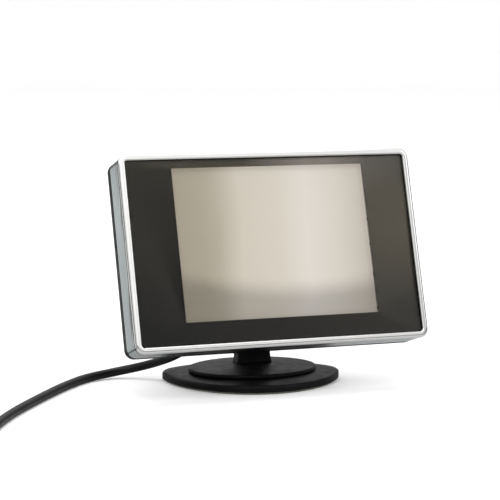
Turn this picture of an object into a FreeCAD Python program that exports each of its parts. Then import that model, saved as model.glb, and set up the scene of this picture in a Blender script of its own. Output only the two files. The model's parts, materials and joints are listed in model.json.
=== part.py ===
"""Dash monitor on a swivel stand, as separate pieces.

Row frame, millimetres: X to the right of someone looking at the screen, Y away from them, Z up.
The origin is on the swivel axis, at the underside of the stand's foam pad.

Head frame, used by every piece of the monitor: origin at the centre of the picture area on the
front face of the window, X as above, Y into the case, Z up the screen. It leans back by head_lean.
"""
import FreeCAD, Part
import math
import os
import Sketcher
from FreeCAD import Placement, Rotation, Vector

doc = FreeCAD.newDocument("DashMonitor")

# ---------------------------------------------------------------- driving dimensions

SIZES = [
    # screen and window
    ("picture_width", 70.08, "width of the picture area of a 3.5 inch panel"),
    ("picture_height", 52.56, "height of the picture area"),
    ("picture_right", 0.5, "picture area right of the window's middle"),
    ("window_width", 102.0, "clear window, width"),
    ("window_height", 63.1, "clear window, height"),
    ("window_corner", 1.0, "clear window, corner radius"),
    ("window_thick", 1.0, "clear window, thickness"),
    ("mask_thick", 0.15, "black mask behind the window"),
    ("window_drop", 2.46, "window centre below the picture's centre"),
    # case
    ("rim_width", 106.4, "front rim, outside width"),
    ("rim_height", 67.5, "front rim, outside height"),
    ("rim_corner", 3.4, "front rim, outside corner radius"),
    ("rim_proud", 0.45, "rim in front of the window"),
    ("rim_back", 1.5, "back of the front rim"),
    ("band_front", 1.85, "front of the side band, after the dark groove"),
    ("band_back", 10.9, "back of the side band"),
    ("band_inset", 0.2, "side band inside the rim's outline"),
    ("band_wall", 0.9, "side band, wall"),
    ("frame_wall", 1.5, "middle frame, wall"),
    ("cover_back", 14.5, "rear cover, back face beside the raised middle"),
    ("cover_wall", 1.5, "rear cover, wall"),
    ("hump_back", 19.5, "rear cover, back face of the raised middle"),
    ("hump_width", 60.0, "raised middle, width"),
    ("hump_top", 20.0, "raised middle, top edge"),
    ("hump_bottom", -35.0, "raised middle, bottom edge"),
    # pose
    ("head_lean", 16.86, "monitor leans back, degrees"),
    ("base_turn", -15.0, "stand foot against the monitor, degrees"),
    ("screen_forward", 22.4, "picture centre in front of the swivel axis"),
    ("screen_high", 52.4, "picture centre above the table"),
    # tilt hinge, in the head frame
    ("hinge_back", 31.5, "tilt axis behind the window"),
    ("hinge_drop", 9.0, "tilt axis below the picture's centre"),
    ("knuckle_radius", 5.5, "round of the tilt tongue and ears"),
    ("tongue_half", 2.6, "half the width of the tilt tongue"),
    ("ear_inside", 3.2, "inner face of an ear"),
    ("neck_half", 6.0, "half the width of the neck"),
    ("bolt_radius", 2.0, "M4 bolt"),
    ("bolt_room", 0.05, "radial clearance where a piece turns on a bolt"),
    # stand
    ("pad_thick", 0.8, "foam pad"),
    ("pad_inset", 0.8, "foam pad inside the plate's edge"),
    ("plate_top", 3.2, "top of the base plate at its edge"),
    ("plate_middle", 4.3, "top of the base plate under the turntable"),
    ("plate_edge", 0.9, "round of the plate's top edge"),
    ("nose_radius", 27.5, "front round of the base plate"),
    ("side_radius", 38.0, "side round of the base plate"),
    ("back_radius", 41.5, "back round of the base plate"),
    ("corner_radius", 12.0, "back corners of the base plate"),
    ("plate_front", 26.5, "front edge of the plate from the swivel axis"),
    ("plate_back", 24.5, "back edge of the plate from the swivel axis"),
    ("plate_widest", 9.6, "centre of the side rounds behind the swivel axis"),
    ("disc_half_width", 23.1, "turntable, half width"),
    ("disc_half_depth", 19.05, "turntable, half depth"),
    ("disc_bottom", 4.6, "underside of the turntable"),
    ("disc_edge", 5.6, "top of the turntable's edge"),
    ("disc_top", 7.2, "top of the turntable's dome"),
    ("neck_foot", 6.4, "underside of the neck, sunk into the turntable"),
    ("neck_foot_width", 13.2, "neck's foot, width"),
    ("neck_foot_depth", 6.8, "neck's foot, depth"),
    # lead
    ("lead_radius", 1.55, "round two-layer lead, radius"),
    ("coil_x", -136.0, "coil centre"),
    ("coil_y", -49.4, "coil centre"),
]


class Dim:
    """A length that carries its value and the sheet formula that gives it."""

    def __init__(self, value, text):
        self.value, self.text = value, text

    def __add__(self, other):
        other = dim(other)
        return Dim(self.value + other.value, f"({self.text} + {other.text})")

    def __sub__(self, other):
        other = dim(other)
        return Dim(self.value - other.value, f"({self.text} - {other.text})")

    def __mul__(self, other):
        other = dim(other)
        return Dim(self.value * other.value, f"({self.text} * {other.text})")

    def __truediv__(self, other):
        other = dim(other)
        return Dim(self.value / other.value, f"({self.text} / {other.text})")

    def __neg__(self):
        return Dim(-self.value, f"(0 - {self.text})")

    def __radd__(self, other):
        return dim(other) + self

    def __rsub__(self, other):
        return dim(other) - self

    def __rmul__(self, other):
        return dim(other) * self


def dim(x):
    """A plain number as a Dim."""
    return x if isinstance(x, Dim) else Dim(float(x), f"({float(x)!r})")


class Sheet:
    """The driving dimensions: a spreadsheet in the document, read as sizes.alias."""

    def __init__(self, rows):
        self.sheet = doc.addObject("Spreadsheet::Sheet", "Sizes")
        for i, (alias, value, note) in enumerate(rows, start=1):
            self.sheet.set(f"A{i}", note)
            self.sheet.set(f"B{i}", str(value))
            self.sheet.setAlias(f"B{i}", alias)
            setattr(self, alias, Dim(float(value), f"Sizes.{alias}"))
        doc.recompute()


S = Sheet(SIZES)


def bind(obj, prop, x):
    """Ties a property to the sheet."""
    obj.setExpression(prop, dim(x).text)


# ---------------------------------------------------------------- placements

HEAD = Placement(
    Vector(0, -S.screen_forward.value, S.screen_high.value),
    Rotation(Vector(1, 0, 0), -S.head_lean.value),
)
BASE = Placement(Vector(0, 0, 0), Rotation(Vector(0, 0, 1), S.base_turn.value))
ROW = Placement()
HINGE = HEAD.multVec(Vector(0, S.hinge_back.value, -S.hinge_drop.value))


# ---------------------------------------------------------------- one piece as a PartDesign body

PLANES = {"XY": "XY_Plane", "XZ": "XZ_Plane", "YZ": "YZ_Plane"}
made = []


def on_plane(axis, value, tol=0.01):
    """Edges that lie in the plane axis = value."""
    low, high = axis + "Min", axis + "Max"
    return lambda e: (
        abs(getattr(e.BoundBox, low) - value) < tol
        and abs(getattr(e.BoundBox, high) - value) < tol
    )


def along(axis, least=0.0):
    """Straight edges along an axis, at least that long."""
    way = {"X": Vector(1, 0, 0), "Y": Vector(0, 1, 0), "Z": Vector(0, 0, 1)}[axis]

    def test(e):
        if e.Curve.TypeId != "Part::GeomLine" or e.Length < least:
            return False
        d = e.tangentAt(e.FirstParameter)
        return abs(abs(d.dot(way)) - 1) < 1e-6

    return test


def rim_edge(e):
    """The edge where the turntable's dome meets its upright side."""
    box = e.BoundBox
    return box.ZMax < S.disc_edge.value + 0.1 and box.ZMin > S.disc_bottom.value + 0.1


class Piece:
    """A sub-part: a PartDesign body whose features are added one after another."""

    def __init__(self, label, at=ROW):
        self.body = doc.addObject("PartDesign::Body", label)
        self.body.Label = label
        self.at = at
        made.append(self)

    # sketches -------------------------------------------------------------------
    def sketch(self, plane, at=0):
        """An empty sketch on the plane at that X, Y or Z of the piece's own frame."""
        sk = self.body.newObject("Sketcher::SketchObject", "Sketch")
        origin = [f for f in self.body.Origin.OriginFeatures if f.Role == PLANES[plane]][0]
        sk.AttachmentSupport = [(origin, "")]
        sk.MapMode = "FlatFace"
        bind(sk, "AttachmentOffset.Base.z", -dim(at) if plane == "XZ" else at)
        return sk

    def _after(self, feature):
        self.body.Tip = feature
        doc.recompute()
        return feature

    # solids from sketches ---------------------------------------------------------
    def pad(self, sk, length):
        """Adds the sketch's outline, towards +X, +Y or +Z."""
        f = self.body.newObject("PartDesign::Pad", "Pad")
        f.Profile = sk
        f.Reversed = sk.AttachmentSupport[0][0].Role == "XZ_Plane"
        bind(f, "Length", length)
        return self._after(f)

    def pocket(self, sk, length):
        """Cuts the sketch's outline, towards +X, +Y or +Z, and makes sure that it cut something."""
        before = self.body.Shape.Volume
        f = self.body.newObject("PartDesign::Pocket", "Pocket")
        f.Profile = sk
        f.Reversed = sk.AttachmentSupport[0][0].Role != "XZ_Plane"
        bind(f, "Length", length)
        self._after(f)
        if self.body.Shape.Volume > before - 1e-3:
            raise RuntimeError(f"{self.body.Label}: a pocket cut nothing")
        return f

    def revolve(self, sk, axis):
        """Adds the sketch's outline turned about the sketch's H_Axis or V_Axis."""
        f = self.body.newObject("PartDesign::Revolution", "Revolution")
        f.Profile = sk
        f.ReferenceAxis = (sk, [axis])
        f.Angle = 360
        return self._after(f)

    def loft(self, sections, ruled=True):
        """Adds the solid that runs through the sketches, straight between them if ruled."""
        f = self.body.newObject("PartDesign::AdditiveLoft", "Loft")
        f.Profile = sections[0]
        f.Sections = sections[1:]
        f.Ruled = ruled
        return self._after(f)

    # primitives ---------------------------------------------------------------------
    def _primitive(self, kind, name, x, y, z, turn=None):
        f = self.body.newObject(f"PartDesign::{kind}{name}", kind + name)
        if turn is not None:
            f.Placement = Placement(Vector(), turn)
        for axis, value in zip("xyz", (x, y, z)):
            bind(f, f"Placement.Base.{axis}", value)
        return f

    def _checked(self, f, kind, before):
        self._after(f)
        change = self.body.Shape.Volume - before
        if (change < 1e-3) if kind == "Additive" else (change > -1e-3):
            raise RuntimeError(f"{self.body.Label}: {f.Name} changed nothing")
        return f

    def box(self, x0, x1, y0, y1, z0, z1, kind="Additive"):
        before = self.body.Shape.Volume if self.body.Tip else 0
        f = self._primitive(kind, "Box", x0, y0, z0)
        bind(f, "Length", dim(x1) - x0)
        bind(f, "Width", dim(y1) - y0)
        bind(f, "Height", dim(z1) - z0)
        return self._checked(f, kind, before)

    def cut_box(self, *sides):
        return self.box(*sides, kind="Subtractive")

    def rod(self, axis, x, y, z, radius, length, kind="Additive"):
        """A cylinder that starts at x, y, z and runs towards +axis."""
        turn = {
            "X": Rotation(Vector(0, 1, 0), 90),
            "Y": Rotation(Vector(1, 0, 0), -90),
            "Z": Rotation(),
        }[axis]
        before = self.body.Shape.Volume if self.body.Tip else 0
        f = self._primitive(kind, "Cylinder", x, y, z, turn)
        bind(f, "Radius", radius)
        bind(f, "Height", length)
        return self._checked(f, kind, before)

    def bore(self, axis, x, y, z, radius, length):
        return self.rod(axis, x, y, z, radius, length, kind="Subtractive")

    # edges ----------------------------------------------------------------------------
    def _edges(self, test):
        shape = self.body.Tip.Shape
        names = [f"Edge{i}" for i, e in enumerate(shape.Edges, start=1) if test(e)]
        if not names:
            raise RuntimeError(f"{self.body.Label}: no edge to dress")
        return (self.body.Tip, names)

    def fillet(self, test, radius):
        base = self._edges(test)
        f = self.body.newObject("PartDesign::Fillet", "Fillet")
        f.Base = base
        bind(f, "Radius", radius)
        return self._after(f)

    def chamfer(self, test, size):
        base = self._edges(test)
        f = self.body.newObject("PartDesign::Chamfer", "Chamfer")
        f.Base = base
        bind(f, "Size", size)
        return self._after(f)


def rounded_rectangle(sk, width, height, radius, right=0, up=0):
    """A rectangle with round corners, its centre at (right, up) in the sketch."""
    width, height, radius, right, up = map(dim, (width, height, radius, right, up))
    w, h, r = width.value / 2, height.value / 2, radius.value
    cx, cy = right.value, up.value
    first = sk.GeometryCount
    for x0, y0, x1, y1 in (
        (r - w, -h, w - r, -h),
        (w, r - h, w, h - r),
        (w - r, h, r - w, h),
        (-w, h - r, -w, r - h),
    ):
        sk.addGeometry(
            Part.LineSegment(Vector(cx + x0, cy + y0, 0), Vector(cx + x1, cy + y1, 0)), False
        )
    for i, (x, y) in enumerate(((w - r, r - h), (w - r, h - r), (r - w, h - r), (r - w, r - h))):
        circle = Part.Circle(Vector(cx + x, cy + y, 0), Vector(0, 0, 1), r)
        start = math.radians(-90 + 90 * i)
        sk.addGeometry(Part.ArcOfCircle(circle, start, start + math.pi / 2), False)
    rules = []
    for i in range(4):
        rules.append(Sketcher.Constraint("Tangent", first + i, 2, first + 4 + i, 1))
        rules.append(
            Sketcher.Constraint("Tangent", first + 4 + i, 2, first + (i + 1) % 4, 1)
        )
        rules.append(Sketcher.Constraint("Horizontal" if i % 2 == 0 else "Vertical", first + i))
    for i in range(1, 4):
        rules.append(Sketcher.Constraint("Equal", first + 4, first + 4 + i))
    sk.addConstraint(rules)
    name_rule(sk, Sketcher.Constraint("Radius", first + 4, r), radius)
    name_rule(sk, Sketcher.Constraint("DistanceX", first + 3, 1, first + 1, 1, 2 * w), width)
    name_rule(sk, Sketcher.Constraint("DistanceY", first, 1, first + 2, 1, 2 * h), height)
    place_point(sk, first + 1, 1, right + width / 2, None)
    place_point(sk, first + 2, 1, None, up + height / 2)


def name_rule(sk, rule, value):
    """Adds a measured constraint and ties it to the sheet."""
    i = sk.addConstraint(rule)
    sk.renameConstraint(i, f"size{i}")
    bind(sk, f"Constraints.size{i}", value)


def place_point(sk, geometry, point, x, y):
    """Ties a point's sketch coordinates to the sheet; None leaves one free."""
    for kind, value in (("DistanceX", x), ("DistanceY", y)):
        if value is None:
            continue
        value = dim(value)
        if abs(value.value) < 1e-9:
            other = "Vertical" if kind == "DistanceX" else "Horizontal"
            sk.addConstraint(Sketcher.Constraint(other, -1, 1, geometry, point))
        elif value.value > 0:
            name_rule(sk, Sketcher.Constraint(kind, -1, 1, geometry, point, value.value), value)
        else:
            name_rule(sk, Sketcher.Constraint(kind, geometry, point, -1, 1, -value.value), -value)


def circle(sk, radius, right=0, up=0):
    radius, right, up = map(dim, (radius, right, up))
    i = sk.addGeometry(
        Part.Circle(Vector(right.value, up.value, 0), Vector(0, 0, 1), radius.value), False
    )
    name_rule(sk, Sketcher.Constraint("Radius", i, radius.value), radius)
    place_point(sk, i, 3, right, up)


def polygon(sk, points):
    """A closed outline of straight lines through points whose coordinates are Dims or numbers."""
    n = len(points)
    first = sk.GeometryCount
    flat = [Vector(dim(x).value, dim(y).value, 0) for x, y in points]
    for i in range(n):
        sk.addGeometry(Part.LineSegment(flat[i], flat[(i + 1) % n]), False)
    sk.addConstraint(
        [Sketcher.Constraint("Coincident", first + i, 2, first + (i + 1) % n, 1) for i in range(n)]
    )
    for i, (x, y) in enumerate(points):
        place_point(sk, first + i, 1, x, y)


def copies(label, master, places):
    """One node of identical pieces: the master's shape moved by each of several offsets."""
    shape = master.body.Shape
    group(label, [shape.translated(Vector(*place)) for place in places], master.at)
    made.remove(master)


def join_pieces(label, pieces):
    """One node of several pieces that are separate solids."""
    group(label, [p.body.Shape for p in pieces], pieces[0].at)
    for p in pieces:
        made.remove(p)


def group(label, shapes, at=ROW):
    """A node of separate solids, or of one solid that no feature makes."""
    node = doc.addObject("Part::Feature", label)
    node.Label = label
    node.Shape = Part.makeCompound(shapes) if len(shapes) > 1 else shapes[0]
    groups.append((node, at))


groups = []


# ---------------------------------------------------------------- monitor: front

WINDOW_CENTRE = -S.window_drop
case_width = S.rim_width - 2 * S.band_inset
case_height = S.rim_height - 2 * S.band_inset
case_corner = S.rim_corner - S.band_inset
frame_width = case_width - 2 * S.band_wall
frame_height = case_height - 2 * S.band_wall
frame_corner = case_corner - S.band_wall
window = (S.window_width, S.window_height, S.window_corner, 0, WINDOW_CENTRE)
picture = (S.picture_width, S.picture_height, 0.3, S.picture_right)


def plate(piece, front, back, *outlines):
    """Pads rounded outlines, each inside the one before or beside it, in the head frame."""
    sk = piece.sketch("XZ", front)
    for shape in outlines:
        rounded_rectangle(sk, *shape)
    return piece.pad(sk, dim(back) - front)


def hollow(piece, front, back, *outlines):
    """Cuts rounded openings from front to back in the head frame."""
    sk = piece.sketch("XZ", front)
    for shape in outlines:
        rounded_rectangle(sk, *shape)
    return piece.pocket(sk, dim(back) - front)


def studs(piece, front, back, radius, places):
    """Round studs from front to back in the head frame."""
    sk = piece.sketch("XZ", front)
    for x, z in places:
        circle(sk, radius, x, z)
    return piece.pad(sk, dim(back) - front)


def bores(piece, front, back, radius, places):
    """Round holes from front to back in the head frame."""
    sk = piece.sketch("XZ", front)
    for x, z in places:
        circle(sk, radius, x, z)
    return piece.pocket(sk, dim(back) - front)


def around(outside, y):
    """The edges of a rounded outline in the plane at y."""
    width, height, corner = (dim(x).value for x in outside[:3])
    up = dim(outside[4]).value if len(outside) > 4 else 0
    level = on_plane("Y", dim(y).value)

    def test(e):
        if not level(e):
            return False
        if e.Curve.TypeId == "Part::GeomCircle":
            return abs(e.Curve.Radius - corner) < 1e-3
        c = e.BoundBox.Center
        return abs(abs(c.x) - width / 2) < 1e-3 or abs(abs(c.z - up) - height / 2) < 1e-3

    return test


def outline(width, height, corner):
    """A rounded outline about the window's centre."""
    return (width, height, corner, 0, WINDOW_CENTRE)


rim_outline = outline(S.rim_width, S.rim_height, S.rim_corner)
case_outline = outline(case_width, case_height, case_corner)
frame_outline = outline(frame_width, frame_height, frame_corner)

rim = Piece("bezel_rim", HEAD)
plate(rim, -S.rim_proud, S.rim_back, rim_outline, window)
rim.fillet(around(rim_outline, -S.rim_proud), 1.1)
rim.fillet(around(window, -S.rim_proud), 0.45)

band = Piece("side_band", HEAD)
plate(band, S.band_front, S.band_back, case_outline, frame_outline)
band.fillet(around(case_outline, S.band_front), 0.35)
band.fillet(around(case_outline, S.band_back), 0.35)

lens = Piece("window_lens", HEAD)
plate(lens, 0, S.window_thick, window)
lens.chamfer(around(window, 0), 0.15)

mask = Piece("window_mask", HEAD)
mask_back = S.window_thick + S.mask_thick
mask_outline = outline(S.window_width - 0.4, S.window_height - 0.4, 0.8)
plate(mask, S.window_thick, mask_back, mask_outline, picture)

# middle frame: a tub open to the back, with a ledge for the window in front
LEDGE_BACK = 2.6
PANEL_OPENING = (72.4, 55.0, 0.5)
ROOM = 0.05  # between pieces that drop into each other
inner_width = frame_width - 2 * S.frame_wall
inner_height = frame_height - 2 * S.frame_wall
POST_X, POST_LOW, POST_HIGH = 45.8, -29.4, 24.4
POST_TOP, POST_RADIUS = 10.4, 2.8
posts = [(x, z) for x in (-POST_X, POST_X) for z in (POST_LOW, POST_HIGH)]
BOARD_X, BOARD_LOW, BOARD_HIGH = 41.6, -21.5, 16.5
BOARD_FRONT, BOARD_BACK = 8.0, 9.2
board_posts = [(x, z) for x in (-BOARD_X, BOARD_X) for z in (BOARD_LOW, BOARD_HIGH)]
RIB_X, RIB_THICK, RIB_LOW, RIB_HIGH = 39.1, 0.9, -18.0, 13.0
PILOT_DEEP = 6.0

mid = Piece("middle_frame", HEAD)
ledge_outline = outline(S.window_width - 2 * ROOM, S.window_height - 2 * ROOM, S.window_corner)
groove_outline = outline(S.rim_width - 1.1, S.rim_height - 1.1, S.rim_corner - 0.5)
plate(mid, mask_back, S.rim_back, ledge_outline, PANEL_OPENING)
plate(mid, S.rim_back, S.band_front, groove_outline, PANEL_OPENING)
plate(mid, S.band_front, LEDGE_BACK, frame_outline, PANEL_OPENING)
plate(mid, LEDGE_BACK, S.band_back, frame_outline, outline(inner_width, inner_height, 1.0))
studs(mid, LEDGE_BACK, POST_TOP, POST_RADIUS, posts)
studs(mid, LEDGE_BACK, BOARD_FRONT, 1.7, board_posts)
for x in (-RIB_X - RIB_THICK, RIB_X):
    mid.box(x, x + RIB_THICK, LEDGE_BACK, 6.0, RIB_LOW, RIB_HIGH)
bores(mid, POST_TOP - PILOT_DEEP, POST_TOP, 1.0, posts)
bores(mid, BOARD_FRONT - 4, BOARD_FRONT, 0.8, board_posts)

# ---------------------------------------------------------------- monitor: display

PANEL_FRONT, PANEL_BACK, PANEL_CENTRE = 2.65, 6.2, -2.3
TIN = 0.4
PANEL_WIDTH, PANEL_HEIGHT = 77.8, 61.0
tin_frame = Piece("lcd_frame", HEAD)
plate(tin_frame, PANEL_FRONT, PANEL_BACK, (PANEL_WIDTH, PANEL_HEIGHT, 0.8, 0, PANEL_CENTRE))
hollow(tin_frame, PANEL_FRONT + TIN, PANEL_BACK,
       (PANEL_WIDTH - 2 * TIN, PANEL_HEIGHT - 2 * TIN, 0.4, 0, PANEL_CENTRE))
hollow(tin_frame, PANEL_FRONT, PANEL_FRONT + TIN, (72.0, 54.4, 0.4))

GLASS_BACK, DIFFUSER_BACK, GUIDE_BACK = 4.15, 4.45, 5.75
for label, front, back in (
    ("lcd_glass", PANEL_FRONT + TIN, GLASS_BACK),
    ("diffuser_sheet", GLASS_BACK, DIFFUSER_BACK),
    ("light_guide", DIFFUSER_BACK, GUIDE_BACK),
    ("reflector_tray", GUIDE_BACK, PANEL_BACK),
):
    layer = Piece(label, HEAD)
    plate(layer, front, back, (PANEL_WIDTH - 1.0, PANEL_HEIGHT - 1.1, 0.3, 0, PANEL_CENTRE))

# the flat cable leaves the back of the display, goes under the board's lower edge and up its back
RIBBON_HALF, RIBBON_THICK = 14.0, 0.15
RIBBON_TOP, RIBBON_LOW, RIBBON_BACK = -18.0, -27.4, 10.0
SOCKET_LOW, SOCKET_TOP, SOCKET_BACK = -24.5, -20.5, 10.9
inside_low = RIBBON_LOW + RIBBON_THICK
ribbon = Piece("lcd_ribbon", HEAD)
sk = ribbon.sketch("YZ", -RIBBON_HALF)
polygon(sk, [
    (PANEL_BACK, RIBBON_TOP), (PANEL_BACK, RIBBON_LOW), (RIBBON_BACK, RIBBON_LOW),
    (RIBBON_BACK, SOCKET_LOW), (RIBBON_BACK - RIBBON_THICK, SOCKET_LOW),
    (RIBBON_BACK - RIBBON_THICK, inside_low), (PANEL_BACK + RIBBON_THICK, inside_low),
    (PANEL_BACK + RIBBON_THICK, RIBBON_TOP),
])
ribbon.pad(sk, 2 * RIBBON_HALF)

# ---------------------------------------------------------------- monitor: electronics

board = Piece("main_board", HEAD)
BOARD = (87.0, 45.0, 0.8, 0, -2.5)  # width, height, corner radius, centre
BOARD_HOLE = 1.1
plate(board, BOARD_FRONT, BOARD_BACK, BOARD)
bores(board, BOARD_FRONT, BOARD_BACK, BOARD_HOLE, board_posts)

ribbon_socket = Piece("ribbon_socket", HEAD)
ribbon_socket.box(-RIBBON_HALF - 1.5, RIBBON_HALF + 1.5, BOARD_BACK, SOCKET_BACK, SOCKET_LOW, SOCKET_TOP)

CHIPS = (  # x, z, width, height, thickness
    (-9.0, 2.0, 10.0, 10.0, 1.2),
    (8.0, -7.0, 7.0, 7.0, 1.0),
    (8.5, 6.5, 5.2, 6.2, 1.7),
    (-26.0, -10.0, 6.6, 6.2, 2.3),
    (21.0, 9.0, 4.0, 5.0, 1.5),
)
chips = []
for x, z, width, height, thick in CHIPS:
    chip = Piece("chip", HEAD)
    chip.box(x - width / 2, x + width / 2, BOARD_BACK, BOARD_BACK + thick,
             z - height / 2, z + height / 2)
    chips.append(chip)
join_pieces("board_chips", chips)

CAN_RADIUS, CAN_TALL = 2.5, 5.8
CANS = ((-23.0, 12.5), (-16.5, 12.5), (19.5, -3.0))
can = Piece("capacitor", HEAD)
can.rod("Y", 0, BOARD_BACK, 0, CAN_RADIUS, CAN_TALL)
can.fillet(on_plane("Y", BOARD_BACK + CAN_TALL), 0.4)
copies("board_capacitors", can, [(x, 0, z) for x, z in CANS])

CHOKE, CHOKE_TALL, CHOKE_FLOOR = (-25.5, 2.5), 3.2, 0.8
CHOKE_OUTSIDE, CHOKE_INSIDE = 3.6, 1.5
choke = Piece("board_choke", HEAD)
studs(choke, BOARD_BACK, BOARD_BACK + CHOKE_TALL, CHOKE_OUTSIDE, [CHOKE])
bores(choke, BOARD_BACK + CHOKE_FLOOR, BOARD_BACK + CHOKE_TALL, CHOKE_INSIDE, [CHOKE])

LEAD_SOCKET_Z, LEAD_SOCKET_BACK, EXIT_X = -18.35, 12.6, -25.0
HEADER_HALF_WIDE, HEADER_HALF_HIGH, HEADER_WALL, HEADER_FLOOR = 5.5, 2.15, 0.8, 1.2
header = Piece("lead_socket", HEAD)
header.box(EXIT_X - HEADER_HALF_WIDE, EXIT_X + HEADER_HALF_WIDE, BOARD_BACK, LEAD_SOCKET_BACK,
           LEAD_SOCKET_Z - HEADER_HALF_HIGH, LEAD_SOCKET_Z + HEADER_HALF_HIGH)
wide, tall = HEADER_HALF_WIDE - HEADER_WALL, HEADER_HALF_HIGH - HEADER_WALL
header.cut_box(EXIT_X - wide, EXIT_X + wide, BOARD_BACK + HEADER_FLOOR, LEAD_SOCKET_BACK,
               LEAD_SOCKET_Z - tall, LEAD_SOCKET_Z + tall)

KEY_X, KEY_PITCH, KEY_TOP = 37.0, 8.0, 13.5
key_names = ("power_key", "menu_key", "up_key", "down_key")
key_rows = [KEY_TOP - KEY_PITCH * i for i in range(len(key_names))]
SWITCH_BACK = 10.7
switch = Piece("switch", HEAD)
SWITCH_HALF_WIDE, SWITCH_HALF_HIGH = 3.0, 1.8
switch.box(KEY_X - SWITCH_HALF_WIDE, KEY_X + SWITCH_HALF_WIDE, BOARD_BACK, SWITCH_BACK,
           -SWITCH_HALF_HIGH, SWITCH_HALF_HIGH)
copies("key_switches", switch, [(0, 0, z) for z in key_rows])

board_screw = Piece("board_screw", HEAD)
board_screw.rod("Y", 0, BOARD_BACK, 0, 1.7, 0.9)
board_screw.rod("Y", 0, BOARD_FRONT - 3.2, 0, 0.8, BOARD_BACK - BOARD_FRONT + 3.2)
board_screw.cut_box(-1.3, 1.3, BOARD_BACK + 0.5, BOARD_BACK + 0.9, -0.2, 0.2)
copies("board_screws", board_screw, [(x, 0, z) for x, z in board_posts])

# ---------------------------------------------------------------- monitor: rear cover

LIP_FRONT = 9.6
SCREW_SUNK, SCREW_HEAD, SCREW_CORE = 1.3, 2.3, 1.0
cover_front = S.band_back + ROOM
cover_floor = S.cover_back - S.cover_wall
hump_floor = S.hump_back - S.cover_wall
hump_middle = (S.hump_top + S.hump_bottom) / 2
hump = (S.hump_width, S.hump_top - S.hump_bottom, 3.0, 0, hump_middle)
hump_inside = (S.hump_width - 2 * S.cover_wall, 50.0, 1.5, 0, hump_middle + 0.5)
lip_outside = outline(inner_width - 2 * ROOM, inner_height - 2 * ROOM, 1.0)
lip_inside = outline(inner_width - 2.5, inner_height - 2.5, 0.6)
VENTS, VENT_PITCH, VENT_Z = 6, 5.0, 12.0
vents = [(1.6, 8.0, 0.78, VENT_PITCH * (i - (VENTS - 1) / 2), VENT_Z) for i in range(VENTS)]
KEY_WIDE, KEY_HIGH, KEY_GAP = 5.2, 3.4, 0.25
key_holes = [(KEY_WIDE + 2 * KEY_GAP, KEY_HIGH + 2 * KEY_GAP, 1.0, KEY_X, z) for z in key_rows]
EXIT_Z, GROMMET_NECK = -29.8, 2.1
LOCK_X, LOCK_Z, LOCK_CORE = 6.2, -17.8, 1.25
locks = [(x, LOCK_Z) for x in (-LOCK_X, LOCK_X)]

cover = Piece("rear_cover", HEAD)
plate(cover, cover_front, S.cover_back, case_outline)
plate(cover, S.cover_back, S.hump_back, hump)
cover.chamfer(around(hump, S.hump_back), 1.6)
cover.fillet(around(case_outline, S.cover_back), 0.9)
hollow(cover, cover_front, cover_floor, lip_inside)
hollow(cover, cover_floor, hump_floor, hump_inside)
plate(cover, LIP_FRONT, cover_front, lip_outside, lip_inside)
studs(cover, POST_TOP + ROOM, cover_floor, POST_RADIUS, posts)
bores(cover, POST_TOP, S.cover_back, SCREW_CORE + 0.35, posts)
bores(cover, S.cover_back - SCREW_SUNK, S.cover_back, SCREW_HEAD + 0.2, posts)
hollow(cover, cover_floor, S.cover_back, *key_holes)
hollow(cover, hump_floor, S.hump_back, *vents)
bores(cover, hump_floor, S.hump_back, GROMMET_NECK, [(EXIT_X, EXIT_Z)])
bores(cover, hump_floor, S.hump_back, LOCK_CORE, locks)


def cross_slot(piece, back, deep, reach):
    """A cross recess, deep below the head's face at y = back."""
    thin = 0.3
    piece.cut_box(-reach, reach, dim(back) - deep, back, -thin, thin)
    piece.cut_box(-thin, thin, dim(back) - deep, back, -reach, reach)


sunk_head = S.cover_back - SCREW_SUNK
cover_screw = Piece("cover_screw", HEAD)
cover_screw.rod("Y", 0, sunk_head, 0, SCREW_HEAD, 1.1)
cover_screw.rod("Y", 0, POST_TOP - PILOT_DEEP + 0.5, 0, SCREW_CORE,
          sunk_head - POST_TOP + PILOT_DEEP - 0.5)
cross_slot(cover_screw, sunk_head + 1.1, 0.6, 1.6)
copies("cover_screws", cover_screw, [(x, 0, z) for x, z in posts])

# ---------------------------------------------------------------- keys

KEY_PROUD = 0.9
FLANGE_FRONT, FLANGE_WIDE, FLANGE_HIGH = 12.0, 6.8, 5.0
STEM_FRONT, STEM_RADIUS = 11.3, 1.2
key_face = S.cover_back + KEY_PROUD
for label, z in zip(key_names, key_rows):
    key = Piece(label, HEAD)
    plate(key, cover_floor - 0.2, key_face, (KEY_WIDE, KEY_HIGH, 0.8, KEY_X, z))
    key.fillet(on_plane("Y", key_face.value), 0.35)
    plate(key, FLANGE_FRONT, cover_floor - 0.1, (FLANGE_WIDE, FLANGE_HIGH, 0.8, KEY_X, z))
    studs(key, STEM_FRONT, FLANGE_FRONT + 0.2, STEM_RADIUS, [(KEY_X, z)])

# ---------------------------------------------------------------- slide rails and tilt bracket

RAIL_LOW, RAIL_HIGH = -21.0, 3.0
BRACKET_HALF, BRACKET_THICK, RAIL_LIP = 11.0, 2.4, 1.2
RAIL_OUTSIDE, LIP_INSIDE = 13.6, 9.4
bracket_back = S.hump_back + BRACKET_THICK
rail_inside = BRACKET_HALF + 0.1
rails = []
for side in (-1, 1):
    rail = Piece("rail", HEAD)
    wall = sorted((rail_inside * side, RAIL_OUTSIDE * side))
    lip = sorted((LIP_INSIDE * side, rail_inside * side))
    rail.box(*wall, S.hump_back, bracket_back + RAIL_LIP, RAIL_LOW, RAIL_HIGH)
    rail.box(*lip, bracket_back + ROOM, bracket_back + RAIL_LIP, RAIL_LOW, RAIL_HIGH)
    rails.append(rail)
join_pieces("slide_rails", rails)

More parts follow.
